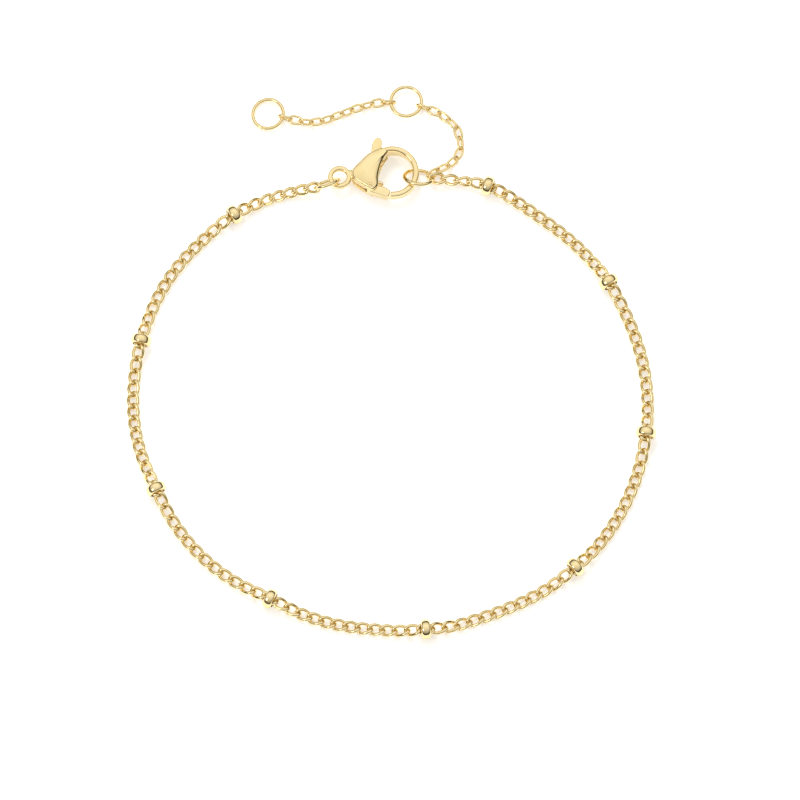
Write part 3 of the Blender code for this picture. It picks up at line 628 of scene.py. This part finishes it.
def hook_point(angle, outward=0.0):
    """A point of the hook's oval at this angle, moved outward from the band's middle."""
    x = HOOK_CENTRE[0] + (HOOK_HALF_LENGTH + outward) * np.cos(angle)
    return np.stack([x, HOOK_CENTRE[1] + (HOOK_HALF_WIDTH + outward) * np.sin(angle)], axis=-1)


def seam_angle(radius, outward):
    """The angle round the hook at which the band, this far out from its middle, is this far from the pivot."""
    angles = np.linspace(-math.pi / 2 - SEAM_SEARCH, -math.pi / 2 + SEAM_SEARCH, SEAM_TRIES)
    away = np.linalg.norm(hook_point(angles[None, :], np.asarray(outward)[:, None]) - np.array(PIVOT), axis=-1)
    return angles[np.argmin(np.abs(away - radius), axis=1)]


def hook_shell(steps, sides):
    """The hook: a rounded oblong section carried round its oval from the housing to the seam, thinning at first."""
    out, rise = rounded(TURN * (np.arange(sides) + 0.5) / sides, 2 / HOOK_SQUARENESS)
    outward = HOOK_BAND / 2 * out
    share = np.linspace(0, 1, steps)
    closing = np.ones(steps)
    closing[[0, -1]] = 0.0
    closing[[1, -2]] = HOOK_END_SIZE
    share[1], share[-2] = 0.0, 1.0
    thinned = np.minimum(share / HOOK_TAPER, 1.0)
    half = (HOOK_ROOT_THICKNESS + (HOOK_TIP_THICKNESS - HOOK_ROOT_THICKNESS) * thinned) / 2
    spread = closing[:, None] * outward
    ends = seam_angle(LEVER_TIP + SEAM_GAP, spread[-2])
    angle = HOOK_START + (ends - HOOK_START) * share[:, None]
    plan = hook_point(angle, spread)
    return np.concatenate([plan, ((closing * half)[:, None] * rise)[..., None]], axis=-1)


def lever_outline():
    """The lever's outline from its pivot: tip, inner edge, heel, bar, thumb tab, knuckle and arm, softened."""
    edges = (HOOK_BAND / 2, -HOOK_BAND / 2)
    tip = [hook_point(seam_angle(LEVER_TIP, [out])[0], out) - np.array(PIVOT) for out in edges]
    shares = [*LEVER_INNER, *LEVER_HEEL, *LEVER_BAR, *LEVER_TAB, *LEVER_BACK, *LEVER_KNUCKLE, *LEVER_ARM]
    round_it = np.array(shares) * np.array([HOOK_HALF_LENGTH, HOOK_HALF_WIDTH])
    return closed_outline([tip, [tip[1], *round_it, tip[0]]], *OUTLINE_DETAIL["lever"])


def upright_shell(outline, low, high, rounding):
    """An outline carried straight up from low to high, with a quarter circle round each rim."""
    quarter = np.linspace(0, math.pi / 2, 6)
    inset = rounding * (1 - np.sin(quarter))
    rise = rounding * (1 - np.cos(quarter))
    inset, height = np.concatenate([inset, inset[::-1]]), np.concatenate([low + rise, high - rise[::-1]])
    rims = [(moved_in(outline, i), z) for i, z in zip(inset, height)]
    return np.stack([np.column_stack([rim, np.full(len(outline), z)]) for rim, z in rims])


def wall_outline():
    """The lower wall in plan: along the housing's outline to the lever's knuckle, and back inside."""
    run = smooth_through(housing_points(HOUSING_BACK_RUN), WALL_STEPS)
    run = run[np.argmax(run[:, 1] < 0):]
    run = run[: np.argmax(np.linalg.norm(run - np.array(PIVOT), axis=1) < KNUCKLE_ROOM) : WALL_SPACING]
    along = unit(np.gradient(run, axis=0))
    inward = np.column_stack([-along[:, 1], along[:, 0]])
    inner = (run + WALL_THICKNESS * inward)[::-1]
    inner = inner[np.linalg.norm(inner - np.array(PIVOT), axis=1) > KNUCKLE_ROOM]
    return closed_outline([run, [run[-1], inner[0]], inner, [inner[-1], run[0]]], *OUTLINE_DETAIL["wall"])


def rivet_shell(diameter, height, steps, sides):
    """The peened end of the pivot pin: a low dome turned about the pivot, dimpled in its middle."""
    share = np.linspace(0, 1, sides)
    dome = RIVET_RISE * np.sqrt(np.clip(1 - share**4, 0, 1))
    rise = dome - RIVET_DIMPLE * RIVET_RISE * hump(share, RIVET_DIMPLE_WIDTH)
    angle = TURN * np.arange(steps) / steps
    outward = np.column_stack([np.cos(angle), np.sin(angle), np.zeros(steps)])
    x, z = np.append(diameter / 2 * share, 0.0), np.append(height + rise, height - RIVET_DEPTH)
    return np.array([*PIVOT, 0.0]) + x[:, None, None] * outward[None] + z[:, None, None] * UP


def weld_and_face_out(mesh):
    """Merges the points of each pole and seam, and turns every face outwards."""
    shape = bmesh.new()
    shape.from_mesh(mesh)
    bmesh.ops.remove_doubles(shape, verts=shape.verts, dist=WELD)
    bmesh.ops.recalc_face_normals(shape, faces=shape.faces)
    shape.to_mesh(mesh)
    shape.free()


def grid_faces(shells, rows, columns, ends):
    """Corner numbers of every face of the shells' grids.

    Columns always join round. Rows join round too where the ends are "joined". Where they are "capped", one
    face closes each end, and where they are "poles" each end's points are one point.
    """
    row = np.arange(rows if ends == "joined" else rows - 1)[:, None]
    column = np.arange(columns)[None, :]
    onward, beside = (row + 1) % rows, (column + 1) % columns
    corners = [row * columns + column, row * columns + beside, onward * columns + beside, onward * columns + column]
    faces = np.stack(corners, axis=-1).reshape(-1, 4)
    starts = np.arange(shells) * rows * columns
    quads = (faces[None] + starts[:, None, None]).reshape(-1, 4).tolist()
    if ends != "capped":
        return quads
    caps = np.stack([column[0][::-1], (rows - 1) * columns + column[0]])
    return quads + (caps[None] + starts[:, None, None]).reshape(-1, columns).tolist()


def make_piece(name, grids, material, body, nodes, flat_below=SHARP_EDGE):
    """One smooth object from grids of points, each given with its ends, on the body and in place of the nodes."""
    points, faces = [], []
    start = 0
    for grid, ends in grids:
        shells = grid if grid.ndim == 4 else grid[None]
        faces += [[start + corner for corner in face] for face in grid_faces(*shells.shape[:3], ends)]
        points.append(shells.reshape(-1, 3))
        start += len(points[-1])
    mesh = bpy.data.meshes.new(name)
    mesh.from_pydata((np.concatenate(points) + frame_shift()).tolist(), [], faces)
    weld_and_face_out(mesh)
    mesh.shade_smooth()
    mesh.set_sharp_from_angle(angle=flat_below)
    mesh.materials.append(material)
    piece = bpy.data.objects.new(name, mesh)
    bpy.context.scene.collection.objects.link(piece)
    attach(piece, body)
    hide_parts(*nodes)
    return piece


def new_group(name, inputs, outputs):
    """An empty shader node group, and its input and output nodes."""
    group = bpy.data.node_groups.new(name, "ShaderNodeTree")
    for label, kind, value in inputs:
        socket = group.interface.new_socket(name=label, in_out="INPUT", socket_type=kind)
        if value is not None:
            socket.default_value = value
    for label, kind in outputs:
        group.interface.new_socket(name=label, in_out="OUTPUT", socket_type=kind)
    return group, group.nodes.new("NodeGroupInput"), group.nodes.new("NodeGroupOutput")


def add_node(tree, kind, values=None, **settings):
    """A node with these settings and input values."""
    node = tree.nodes.new(kind)
    for key, value in settings.items():
        setattr(node, key, value)
    for key, value in (values or {}).items():
        node.inputs[key].default_value = value
    return node


def wear_group():
    """Polish wear: a roughness and a colour that drift over the surface, with a low and a high end for each."""
    found = bpy.data.node_groups.get("polish_wear")
    if found:
        return found
    group, given, result = new_group(
        "polish_wear",
        [
            ("Size", "NodeSocketFloat", 2 * MM),
            ("Smooth", "NodeSocketFloat", 0.1),
            ("Worn", "NodeSocketFloat", 0.2),
            ("Bright Color", "NodeSocketColor", (0.9, 0.75, 0.4, 1)),
            ("Deep Color", "NodeSocketColor", (0.8, 0.6, 0.3, 1)),
        ],
        [("Color", "NodeSocketColor"), ("Roughness", "NodeSocketFloat")],
    )
    place = add_node(group, "ShaderNodeTexCoord")
    scale = add_node(group, "ShaderNodeMath", {0: 1.0}, operation="DIVIDE")
    clouds = add_node(group, "ShaderNodeTexNoise", {"Detail": 4.0, "Roughness": 0.6})
    amount = add_node(group, "ShaderNodeMapRange", {"From Min": WEAR_RANGE[0], "From Max": WEAR_RANGE[1]})
    rough = add_node(group, "ShaderNodeMapRange")
    tint = add_node(group, "ShaderNodeMix", data_type="RGBA")
    link = group.links.new
    link(given.outputs["Size"], scale.inputs[1])
    link(place.outputs["Object"], clouds.inputs["Vector"])
    link(scale.outputs[0], clouds.inputs["Scale"])
    link(clouds.outputs["Fac"], amount.inputs["Value"])
    link(amount.outputs["Result"], rough.inputs["Value"])
    link(given.outputs["Smooth"], rough.inputs["To Min"])
    link(given.outputs["Worn"], rough.inputs["To Max"])
    link(amount.outputs["Result"], tint.inputs[0])
    link(given.outputs["Bright Color"], tint.inputs[6])
    link(given.outputs["Deep Color"], tint.inputs[7])
    link(tint.outputs[2], result.inputs["Color"])
    link(rough.outputs["Result"], result.inputs["Roughness"])
    return group


def surface_group():
    """Polished surface: soft waviness left by casting and fine polishing scratches, as one height in metres."""
    found = bpy.data.node_groups.get("polished_surface")
    if found:
        return found
    group, given, result = new_group(
        "polished_surface",
        [
            ("Wave Size", "NodeSocketFloat", 1 * MM),
            ("Wave Height", "NodeSocketFloat", 0.01 * MM),
            ("Scratch Size", "NodeSocketFloat", 0.05 * MM),
            ("Scratch Height", "NodeSocketFloat", 0.0002 * MM),
        ],
        [("Height", "NodeSocketFloat")],
    )
    place = add_node(group, "ShaderNodeTexCoord")
    stretch = add_node(group, "ShaderNodeMapping", {"Rotation": SCRATCH_TURN, "Scale": SCRATCH_STRETCH})
    link = group.links.new
    link(place.outputs["Object"], stretch.inputs["Vector"])
    heights = []
    for size, height, vector in (("Wave Size", "Wave Height", place.outputs["Object"]),
                                 ("Scratch Size", "Scratch Height", stretch.outputs["Vector"])):
        scale = add_node(group, "ShaderNodeMath", {0: 1.0}, operation="DIVIDE")
        noise = add_node(group, "ShaderNodeTexNoise", {"Detail": 1.0})
        product = add_node(group, "ShaderNodeMath", operation="MULTIPLY")
        link(given.outputs[size], scale.inputs[1])
        link(vector, noise.inputs["Vector"])
        link(scale.outputs[0], noise.inputs["Scale"])
        link(noise.outputs["Fac"], product.inputs[0])
        link(given.outputs[height], product.inputs[1])
        heights.append(product)
    total = add_node(group, "ShaderNodeMath", operation="ADD")
    link(heights[0].outputs[0], total.inputs[0])
    link(heights[1].outputs[0], total.inputs[1])
    link(total.outputs[0], result.inputs["Height"])
    return group


def gold(name, looks):
    """A polished gold material. Its surface is wavy by its size and height in WAVES."""
    found = bpy.data.materials.get(name)
    if found:
        return found
    made = bpy.data.materials.new(name)
    made.use_nodes = True
    tree = made.node_tree
    shader = tree.nodes["Principled BSDF"]
    shader.inputs["Metallic"].default_value = 1.0
    wear = add_node(tree, "ShaderNodeGroup", node_tree=wear_group())
    wear.inputs["Size"].default_value = WEAR_SIZE
    wear.inputs["Smooth"].default_value = looks.roughness
    wear.inputs["Worn"].default_value = looks.roughness + WORN_ROUGHNESS
    wear.inputs["Bright Color"].default_value = (*looks.bright_colour, 1)
    wear.inputs["Deep Color"].default_value = (*looks.deep_colour, 1)
    surface = add_node(tree, "ShaderNodeGroup", node_tree=surface_group())
    surface.inputs["Wave Size"].default_value, surface.inputs["Wave Height"].default_value = WAVES[name]
    surface.inputs["Scratch Size"].default_value = SCRATCH_SIZE
    surface.inputs["Scratch Height"].default_value = SCRATCH_HEIGHT
    bump = add_node(tree, "ShaderNodeBump", {"Distance": 1.0, "Strength": 1.0})
    link = tree.links.new
    link(wear.outputs["Color"], shader.inputs["Base Color"])
    link(wear.outputs["Roughness"], shader.inputs["Roughness"])
    link(surface.outputs["Height"], bump.inputs["Height"])
    link(bump.outputs["Normal"], shader.inputs["Normal"])
    return made


def floor_material(looks):
    """The pale surface that the bracelet lies on, very faintly mottled."""
    made = bpy.data.materials.new("pale_floor")
    made.use_nodes = True
    tree = made.node_tree
    shader = tree.nodes["Principled BSDF"]
    shader.inputs["Roughness"].default_value = FLOOR_ROUGHNESS
    shader.inputs["Specular IOR Level"].default_value = FLOOR_SHEEN
    place = add_node(tree, "ShaderNodeTexCoord")
    clouds = add_node(tree, "ShaderNodeTexNoise", {"Scale": MOTTLE_SCALE, "Detail": 2.0})
    shader.inputs["Emission Color"].default_value = (*looks.floor_colour, 1)
    shader.inputs["Emission Strength"].default_value = FLOOR_GLOW
    tint = add_node(tree, "ShaderNodeMix", data_type="RGBA")
    tint.inputs[6].default_value = (*looks.floor_colour, 1)
    tint.inputs[7].default_value = (*(MOTTLE_SHADE * np.array(looks.floor_colour)), 1)
    link = tree.links.new
    link(place.outputs["Object"], clouds.inputs["Vector"])
    link(clouds.outputs["Fac"], tint.inputs[0])
    link(tint.outputs[2], shader.inputs["Base Color"])
    return made


class BRACELET_looks(bpy.types.PropertyGroup):
    """Colours and finish of the metal and the floor."""

    bright_colour: FloatVectorProperty(
        name="Bright colour", description="Colour of the metal where it is freshly polished",
        subtype="COLOR", size=3, min=0, max=1, default=(0.95, 0.785, 0.445),
    )
    deep_colour: FloatVectorProperty(
        name="Deep colour", description="Colour of the metal where its plating is a little deeper",
        subtype="COLOR", size=3, min=0, max=1, default=(0.91, 0.725, 0.37),
    )
    roughness: FloatProperty(
        name="Roughness", description="Roughness of the polished metal",
        default=0.11, min=0, max=1, subtype="FACTOR",
    )
    floor_colour: FloatVectorProperty(
        name="Floor colour", description="Colour of the surface that the bracelet lies on",
        subtype="COLOR", size=3, min=0, max=1, default=(0.96, 0.96, 0.96),
    )


class BRACELET_sizes(bpy.types.PropertyGroup):
    """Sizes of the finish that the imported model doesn't fix."""

    bead_hole: FloatProperty(
        name="Bead hole", description="Width of the hole through each bead",
        default=1.63 * MM, min=1.55 * MM, max=2.0 * MM, unit="LENGTH", precision=5,
    )
    plate_dome: FloatProperty(
        name="Plate dome", description="How far the clasp's plate falls from its middle to its rim",
        default=0.16 * MM, min=0, max=0.3 * MM, unit="LENGTH", precision=5,
    )
    plate_rim: FloatProperty(
        name="Plate rim", description="Width of the rounded rim of the clasp's plates",
        default=0.22 * MM, min=0.05 * MM, max=0.4 * MM, unit="LENGTH", precision=5,
    )
    lever_round: FloatProperty(
        name="Lever rounding", description="Radius of the lever's rounded rims",
        default=0.1 * MM, min=0.02 * MM, max=0.3 * MM, unit="LENGTH", precision=5,
    )
    rivet: FloatProperty(
        name="Rivet", description="Width of the peened end of the pivot pin",
        default=0.55 * MM, min=0.3 * MM, max=0.9 * MM, unit="LENGTH", precision=5,
    )
    ring_seam: FloatProperty(
        name="Ring seam", description="Gap between the two ends of each jump ring's wire",
        default=0.03 * MM, min=0, max=0.1 * MM, unit="LENGTH", precision=5,
    )
    link_steps: IntProperty(
        name="Link steps", description="Steps round each link of the chains", default=32, min=12, max=64,
    )


class BRACELET_OT_chains(bpy.types.Operator):
    """Build the two stretches of curb chain"""

    bl_idname = "bracelet.chains"
    bl_label = "Curb chain"

    def execute(self, context):
        sizes, looks = context.scene.bracelet_sizes, context.scene.bracelet_looks
        metal = gold("chain_gold", looks)
        holds, rolls, beads = loop_route(all_rings())
        shells = link_shells(
            holds, rolls, LINK_WIRE, LINK_WIDTH, LINK_TWIST, LINK_SQUARENESS, 0.0, sizes.link_steps, LINK_SIDES,
        )
        half = beads[len(beads) // 2] + LINKS_PAST_BEAD
        make_piece("left_curb_chain", [(shells[:half], "joined")], metal, "bracelet", ["chain_left"])
        make_piece("right_curb_chain", [(shells[half:], "joined")], metal, "bracelet", ["chain_right"])
        return {"FINISHED"}


class BRACELET_OT_beads(bpy.types.Operator):
    """Build the ring beads threaded on the curb chain"""

    bl_idname = "bracelet.beads"
    bl_label = "Ring beads"

    def execute(self, context):
        sizes, looks = context.scene.bracelet_sizes, context.scene.bracelet_looks
        metal = gold("bead_gold", looks)
        holds, _, beads = loop_route(all_rings())
        for number, bead in enumerate(beads, 1):
            shell = bead_shell(holds[bead], holds[bead + 1], sizes.bead_hole, BEAD_STEPS, BEAD_SIDES)
            make_piece(f"ring_bead_{number}", [(shell, "joined")], metal, "bracelet", [f"bead_{number}"])
        return {"FINISHED"}


class BRACELET_OT_rings(bpy.types.Operator):
    """Build the four jump rings, each bent round from one length of wire"""

    bl_idname = "bracelet.rings"
    bl_label = "Jump rings"

    def execute(self, context):
        sizes, looks = context.scene.bracelet_sizes, context.scene.bracelet_looks
        metal = gold("ring_gold", looks)
        for name, ring in all_rings().items():
            shell = ring_shell(ring, RING_SEAMS[name], sizes.ring_seam, RING_STEPS, RING_SIDES)
            make_piece(f"round_{name}", [(shell, "poles")], metal, "bracelet", [name])
        return {"FINISHED"}


class BRACELET_OT_extension(bpy.types.Operator):
    """Build the two stretches of cable chain in the extension"""

    bl_idname = "bracelet.extension"
    bl_label = "Extension chain"

    def execute(self, context):
        sizes, looks = context.scene.bracelet_sizes, context.scene.bracelet_looks
        metal = gold("chain_gold", looks)
        rings = all_rings()
        stretches = {
            "extension_inner": (INNER_ROUTE, rings["junction_ring"], rings["middle_ring"]),
            "extension_outer": (OUTER_ROUTE, rings["middle_ring"], rings["end_ring"]),
        }
        for node, stretch in stretches.items():
            holds, rolls = fine_route(*stretch)
            shells = link_shells(
                holds, rolls, FINE_WIRE, FINE_WIDTH, 0.0, FINE_SQUARENESS, FINE_SLACK, sizes.link_steps, LINK_SIDES,
            )
            make_piece(f"cable_{node}", [(shells, "joined")], metal, "bracelet", [node])
        return {"FINISHED"}


class BRACELET_OT_clasp(bpy.types.Operator):
    """Build the clasp's cast body: eye, neck, two plates and their walls, rivet and hook"""

    bl_idname = "bracelet.clasp"
    bl_label = "Clasp body"

    def execute(self, context):
        sizes, looks = context.scene.bracelet_sizes, context.scene.bracelet_looks
        metal = gold("cast_gold", looks)
        runs = [housing_points(HOUSING_FRONT_RUN), housing_points(HOUSING_BACK_RUN)]
        outline = closed_outline(runs, *OUTLINE_DETAIL["plate"])
        middle = housing_points([HOUSING_MIDDLE])[0]
        top, rim, dome = CLASP_THICKNESS / 2, sizes.plate_rim, sizes.plate_dome
        under = top - PLATE_THICKNESS
        front = slab_shell(outline, middle, under - RIM_HEIGHT, top, UNDER_RIM, rim, RIM_HEIGHT, dome)
        spread = moved_in(outline, -BACK_SPREAD * np.clip(-outward_of(outline)[:, 1], 0, 1))
        back = slab_shell(spread, middle, under - RIM_HEIGHT, top, UNDER_RIM, rim, RIM_HEIGHT, dome)
        corner = closed_outline([housing_points([*CORNER_BLOCK, CORNER_BLOCK[0]])], *OUTLINE_DETAIL["block"])
        shells = [
            (front, "poles"),
            (back * np.array([1.0, 1.0, -1.0]), "poles"),
            (upright_shell(wall_outline(), WALL_GROOVE[1], under + WALL_OVERLAP, WALL_ROUND), "capped"),
            (upright_shell(wall_outline(), -under - WALL_OVERLAP, WALL_GROOVE[0], WALL_ROUND), "capped"),
            (upright_shell(corner, -under, under, WALL_ROUND), "capped"),
            (eye_shell(CLASP_STEPS, CLASP_SIDES), "joined"),
            (neck_shell(NECK_STEPS, CLASP_SIDES), "poles"),
            (hook_shell(CLASP_STEPS, CLASP_SIDES), "poles"),
            (rivet_shell(sizes.rivet, top - RIVET_SEAT * dome, RIVET_STEPS, RIVET_SIDES), "poles"),
        ]
        on_clasp = np.array([*CLASP_PLACE, CLASP_THICKNESS / 2])
        grids = [(shell + on_clasp, ends) for shell, ends in shells]
        make_piece("cast_clasp", grids, metal, "bracelet", ["clasp_body"])
        return {"FINISHED"}


class BRACELET_OT_lever(bpy.types.Operator):
    """Build the clasp's sprung lever with its thumb tab"""

    bl_idname = "bracelet.lever"
    bl_label = "Clasp lever"

    def execute(self, context):
        sizes, looks = context.scene.bracelet_sizes, context.scene.bracelet_looks
        metal = gold("cast_gold", looks)
        on_clasp = np.array([*CLASP_PLACE, CLASP_THICKNESS / 2])
        outline = lever_outline() + np.array(PIVOT)
        half = LEVER_THICKNESS / 2
        shell = upright_shell(outline, -half, half, sizes.lever_round) + on_clasp
        make_piece("sprung_lever", [(shell, "capped")], metal, "lever", ["clasp_lever"])
        return {"FINISHED"}


class BRACELET_OT_stage(bpy.types.Operator):
    """Lay the pale floor, light it softly and set the camera at the photograph's angle"""

    bl_idname = "bracelet.stage"
    bl_label = "Floor, light and camera"

    def execute(self, context):
        scene = context.scene
        mesh = bpy.data.meshes.new("floor")
        reach = FLOOR_SIZE / 2
        corners = [(-reach, -reach, 0.0), (reach, -reach, 0.0), (reach, reach, 0.0), (-reach, reach, 0.0)]
        mesh.from_pydata(corners, [], [(0, 1, 2, 3)])
        mesh.materials.append(floor_material(scene.bracelet_looks))
        floor = bpy.data.objects.new("floor", mesh)
        scene.collection.objects.link(floor)
        scene.world = studio_surroundings()
        scene.view_settings.view_transform = "Standard"
        for light in SOFT_LIGHTS:
            add_soft_light(scene, *light)
        add_camera(scene)
        return {"FINISHED"}


class BRACELET_PT_panel(bpy.types.Panel):
    """Lists the bracelet's sizes, colours and pieces"""

    bl_idname = "BRACELET_PT_panel"
    bl_label = "Bracelet"
    bl_space_type = "VIEW_3D"
    bl_region_type = "UI"
    bl_category = "Bracelet"

    def draw(self, context):
        for group in (context.scene.bracelet_sizes, context.scene.bracelet_looks):
            box = self.layout.box()
            for name in group.__annotations__:
                box.prop(group, name)
        for operator in OPERATORS:
            self.layout.operator(operator.bl_idname)


def studio_surroundings():
    """White surroundings with a dark band round the horizon for the metal to reflect, darkest on the near side."""
    world = bpy.data.worlds.new("studio")
    world.use_nodes = True
    tree = world.node_tree
    link = tree.links.new
    place = add_node(tree, "ShaderNodeTexCoord")
    parts = add_node(tree, "ShaderNodeSeparateXYZ")
    height = add_node(tree, "ShaderNodeValToRGB")
    ramp = height.color_ramp
    ramp.interpolation = "EASE"
    for at, grey in SKY_BANDS:
        stop = ramp.elements[0] if at == 0 else ramp.elements[1] if at == 1 else ramp.elements.new(at)
        stop.color = (*(grey * np.array(SKY_TINT)), 1)
    rise = add_node(tree, "ShaderNodeMapRange", {"From Min": -1.0, "From Max": 1.0})
    shading = {"From Min": NEAR_RANGE[0], "From Max": NEAR_RANGE[1], "To Min": NEAR_SHADE, "To Max": 1.0}
    side = add_node(tree, "ShaderNodeMapRange", shading)
    shaded = add_node(tree, "ShaderNodeMix", data_type="RGBA", blend_type="MULTIPLY")
    shaded.inputs[0].default_value = 1.0
    sky = tree.nodes["Background"]
    sky.inputs["Strength"].default_value = SKY_STRENGTH
    white = add_node(tree, "ShaderNodeBackground", {"Color": (1, 1, 1, 1), "Strength": 1.0})
    path = add_node(tree, "ShaderNodeLightPath")
    chosen = add_node(tree, "ShaderNodeMixShader")
    link(place.outputs["Generated"], parts.inputs[0])
    link(parts.outputs["Z"], rise.inputs["Value"])
    link(parts.outputs["Y"], side.inputs["Value"])
    link(rise.outputs["Result"], height.inputs["Fac"])
    link(height.outputs["Color"], shaded.inputs[6])
    link(side.outputs["Result"], shaded.inputs[7])
    link(shaded.outputs[2], sky.inputs["Color"])
    link(path.outputs["Is Camera Ray"], chosen.inputs["Fac"])
    link(sky.outputs["Background"], chosen.inputs[1])
    link(white.outputs["Background"], chosen.inputs[2])
    link(chosen.outputs["Shader"], tree.nodes["World Output"].inputs["Surface"])
    return world


def add_soft_light(scene, name, place, size, power, mirrored):
    """A square soft light that looks at the bracelet, mirrored in the metal or not."""
    light = bpy.data.lights.new(name, "AREA")
    light.size = size
    light.energy = power
    lamp = bpy.data.objects.new(name, light)
    lamp.location = place
    lamp.visible_glossy = mirrored
    lamp.rotation_mode = "QUATERNION"
    lamp.rotation_quaternion = Vector(place).to_track_quat("Z", "Y")
    scene.collection.objects.link(lamp)


def add_camera(scene):
    """A long lens that looks down at the photograph's angle, framed as the photograph is."""
    camera = bpy.data.cameras.new("camera")
    camera.sensor_width = SENSOR_WIDTH
    camera.lens = SENSOR_WIDTH * CAMERA_DISTANCE / (PHOTO_PIXELS * PIXEL)
    right = (PHOTO_PIXELS / 2 - LOOP_MIDDLE_PIXEL[0]) * PIXEL
    up = (LOOP_MIDDLE_PIXEL[1] - PHOTO_PIXELS / 2) * PIXEL / math.sin(CAMERA_ELEVATION)
    target = Vector(frame_shift()) + Vector((right, up, 0.0))
    back = Vector((0.0, -math.cos(CAMERA_ELEVATION), math.sin(CAMERA_ELEVATION)))
    holder = bpy.data.objects.new("camera", camera)
    holder.location = target + CAMERA_DISTANCE * back
    holder.rotation_mode = "QUATERNION"
    holder.rotation_quaternion = back.to_track_quat("Z", "Y")
    scene.collection.objects.link(holder)
    scene.camera = holder


OPERATORS = (
    BRACELET_OT_chains, BRACELET_OT_beads, BRACELET_OT_rings, BRACELET_OT_extension,
    BRACELET_OT_clasp, BRACELET_OT_lever, BRACELET_OT_stage,
)
CLASSES = (BRACELET_sizes, BRACELET_looks, *OPERATORS, BRACELET_PT_panel)


def register():
    for made in CLASSES:
        bpy.utils.register_class(made)
    bpy.types.Scene.bracelet_sizes = PointerProperty(type=BRACELET_sizes)
    bpy.types.Scene.bracelet_looks = PointerProperty(type=BRACELET_looks)


def unregister():
    del bpy.types.Scene.bracelet_looks
    del bpy.types.Scene.bracelet_sizes
    for made in reversed(CLASSES):
        bpy.utils.unregister_class(made)


def main():
    register()
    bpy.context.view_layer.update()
    bpy.ops.bracelet.chains()
    bpy.ops.bracelet.beads()
    bpy.ops.bracelet.rings()
    bpy.ops.bracelet.extension()
    bpy.ops.bracelet.clasp()
    bpy.ops.bracelet.lever()
    bpy.ops.bracelet.stage()
    bpy.context.view_layer.update()


if __name__ == "__main__":
    main()
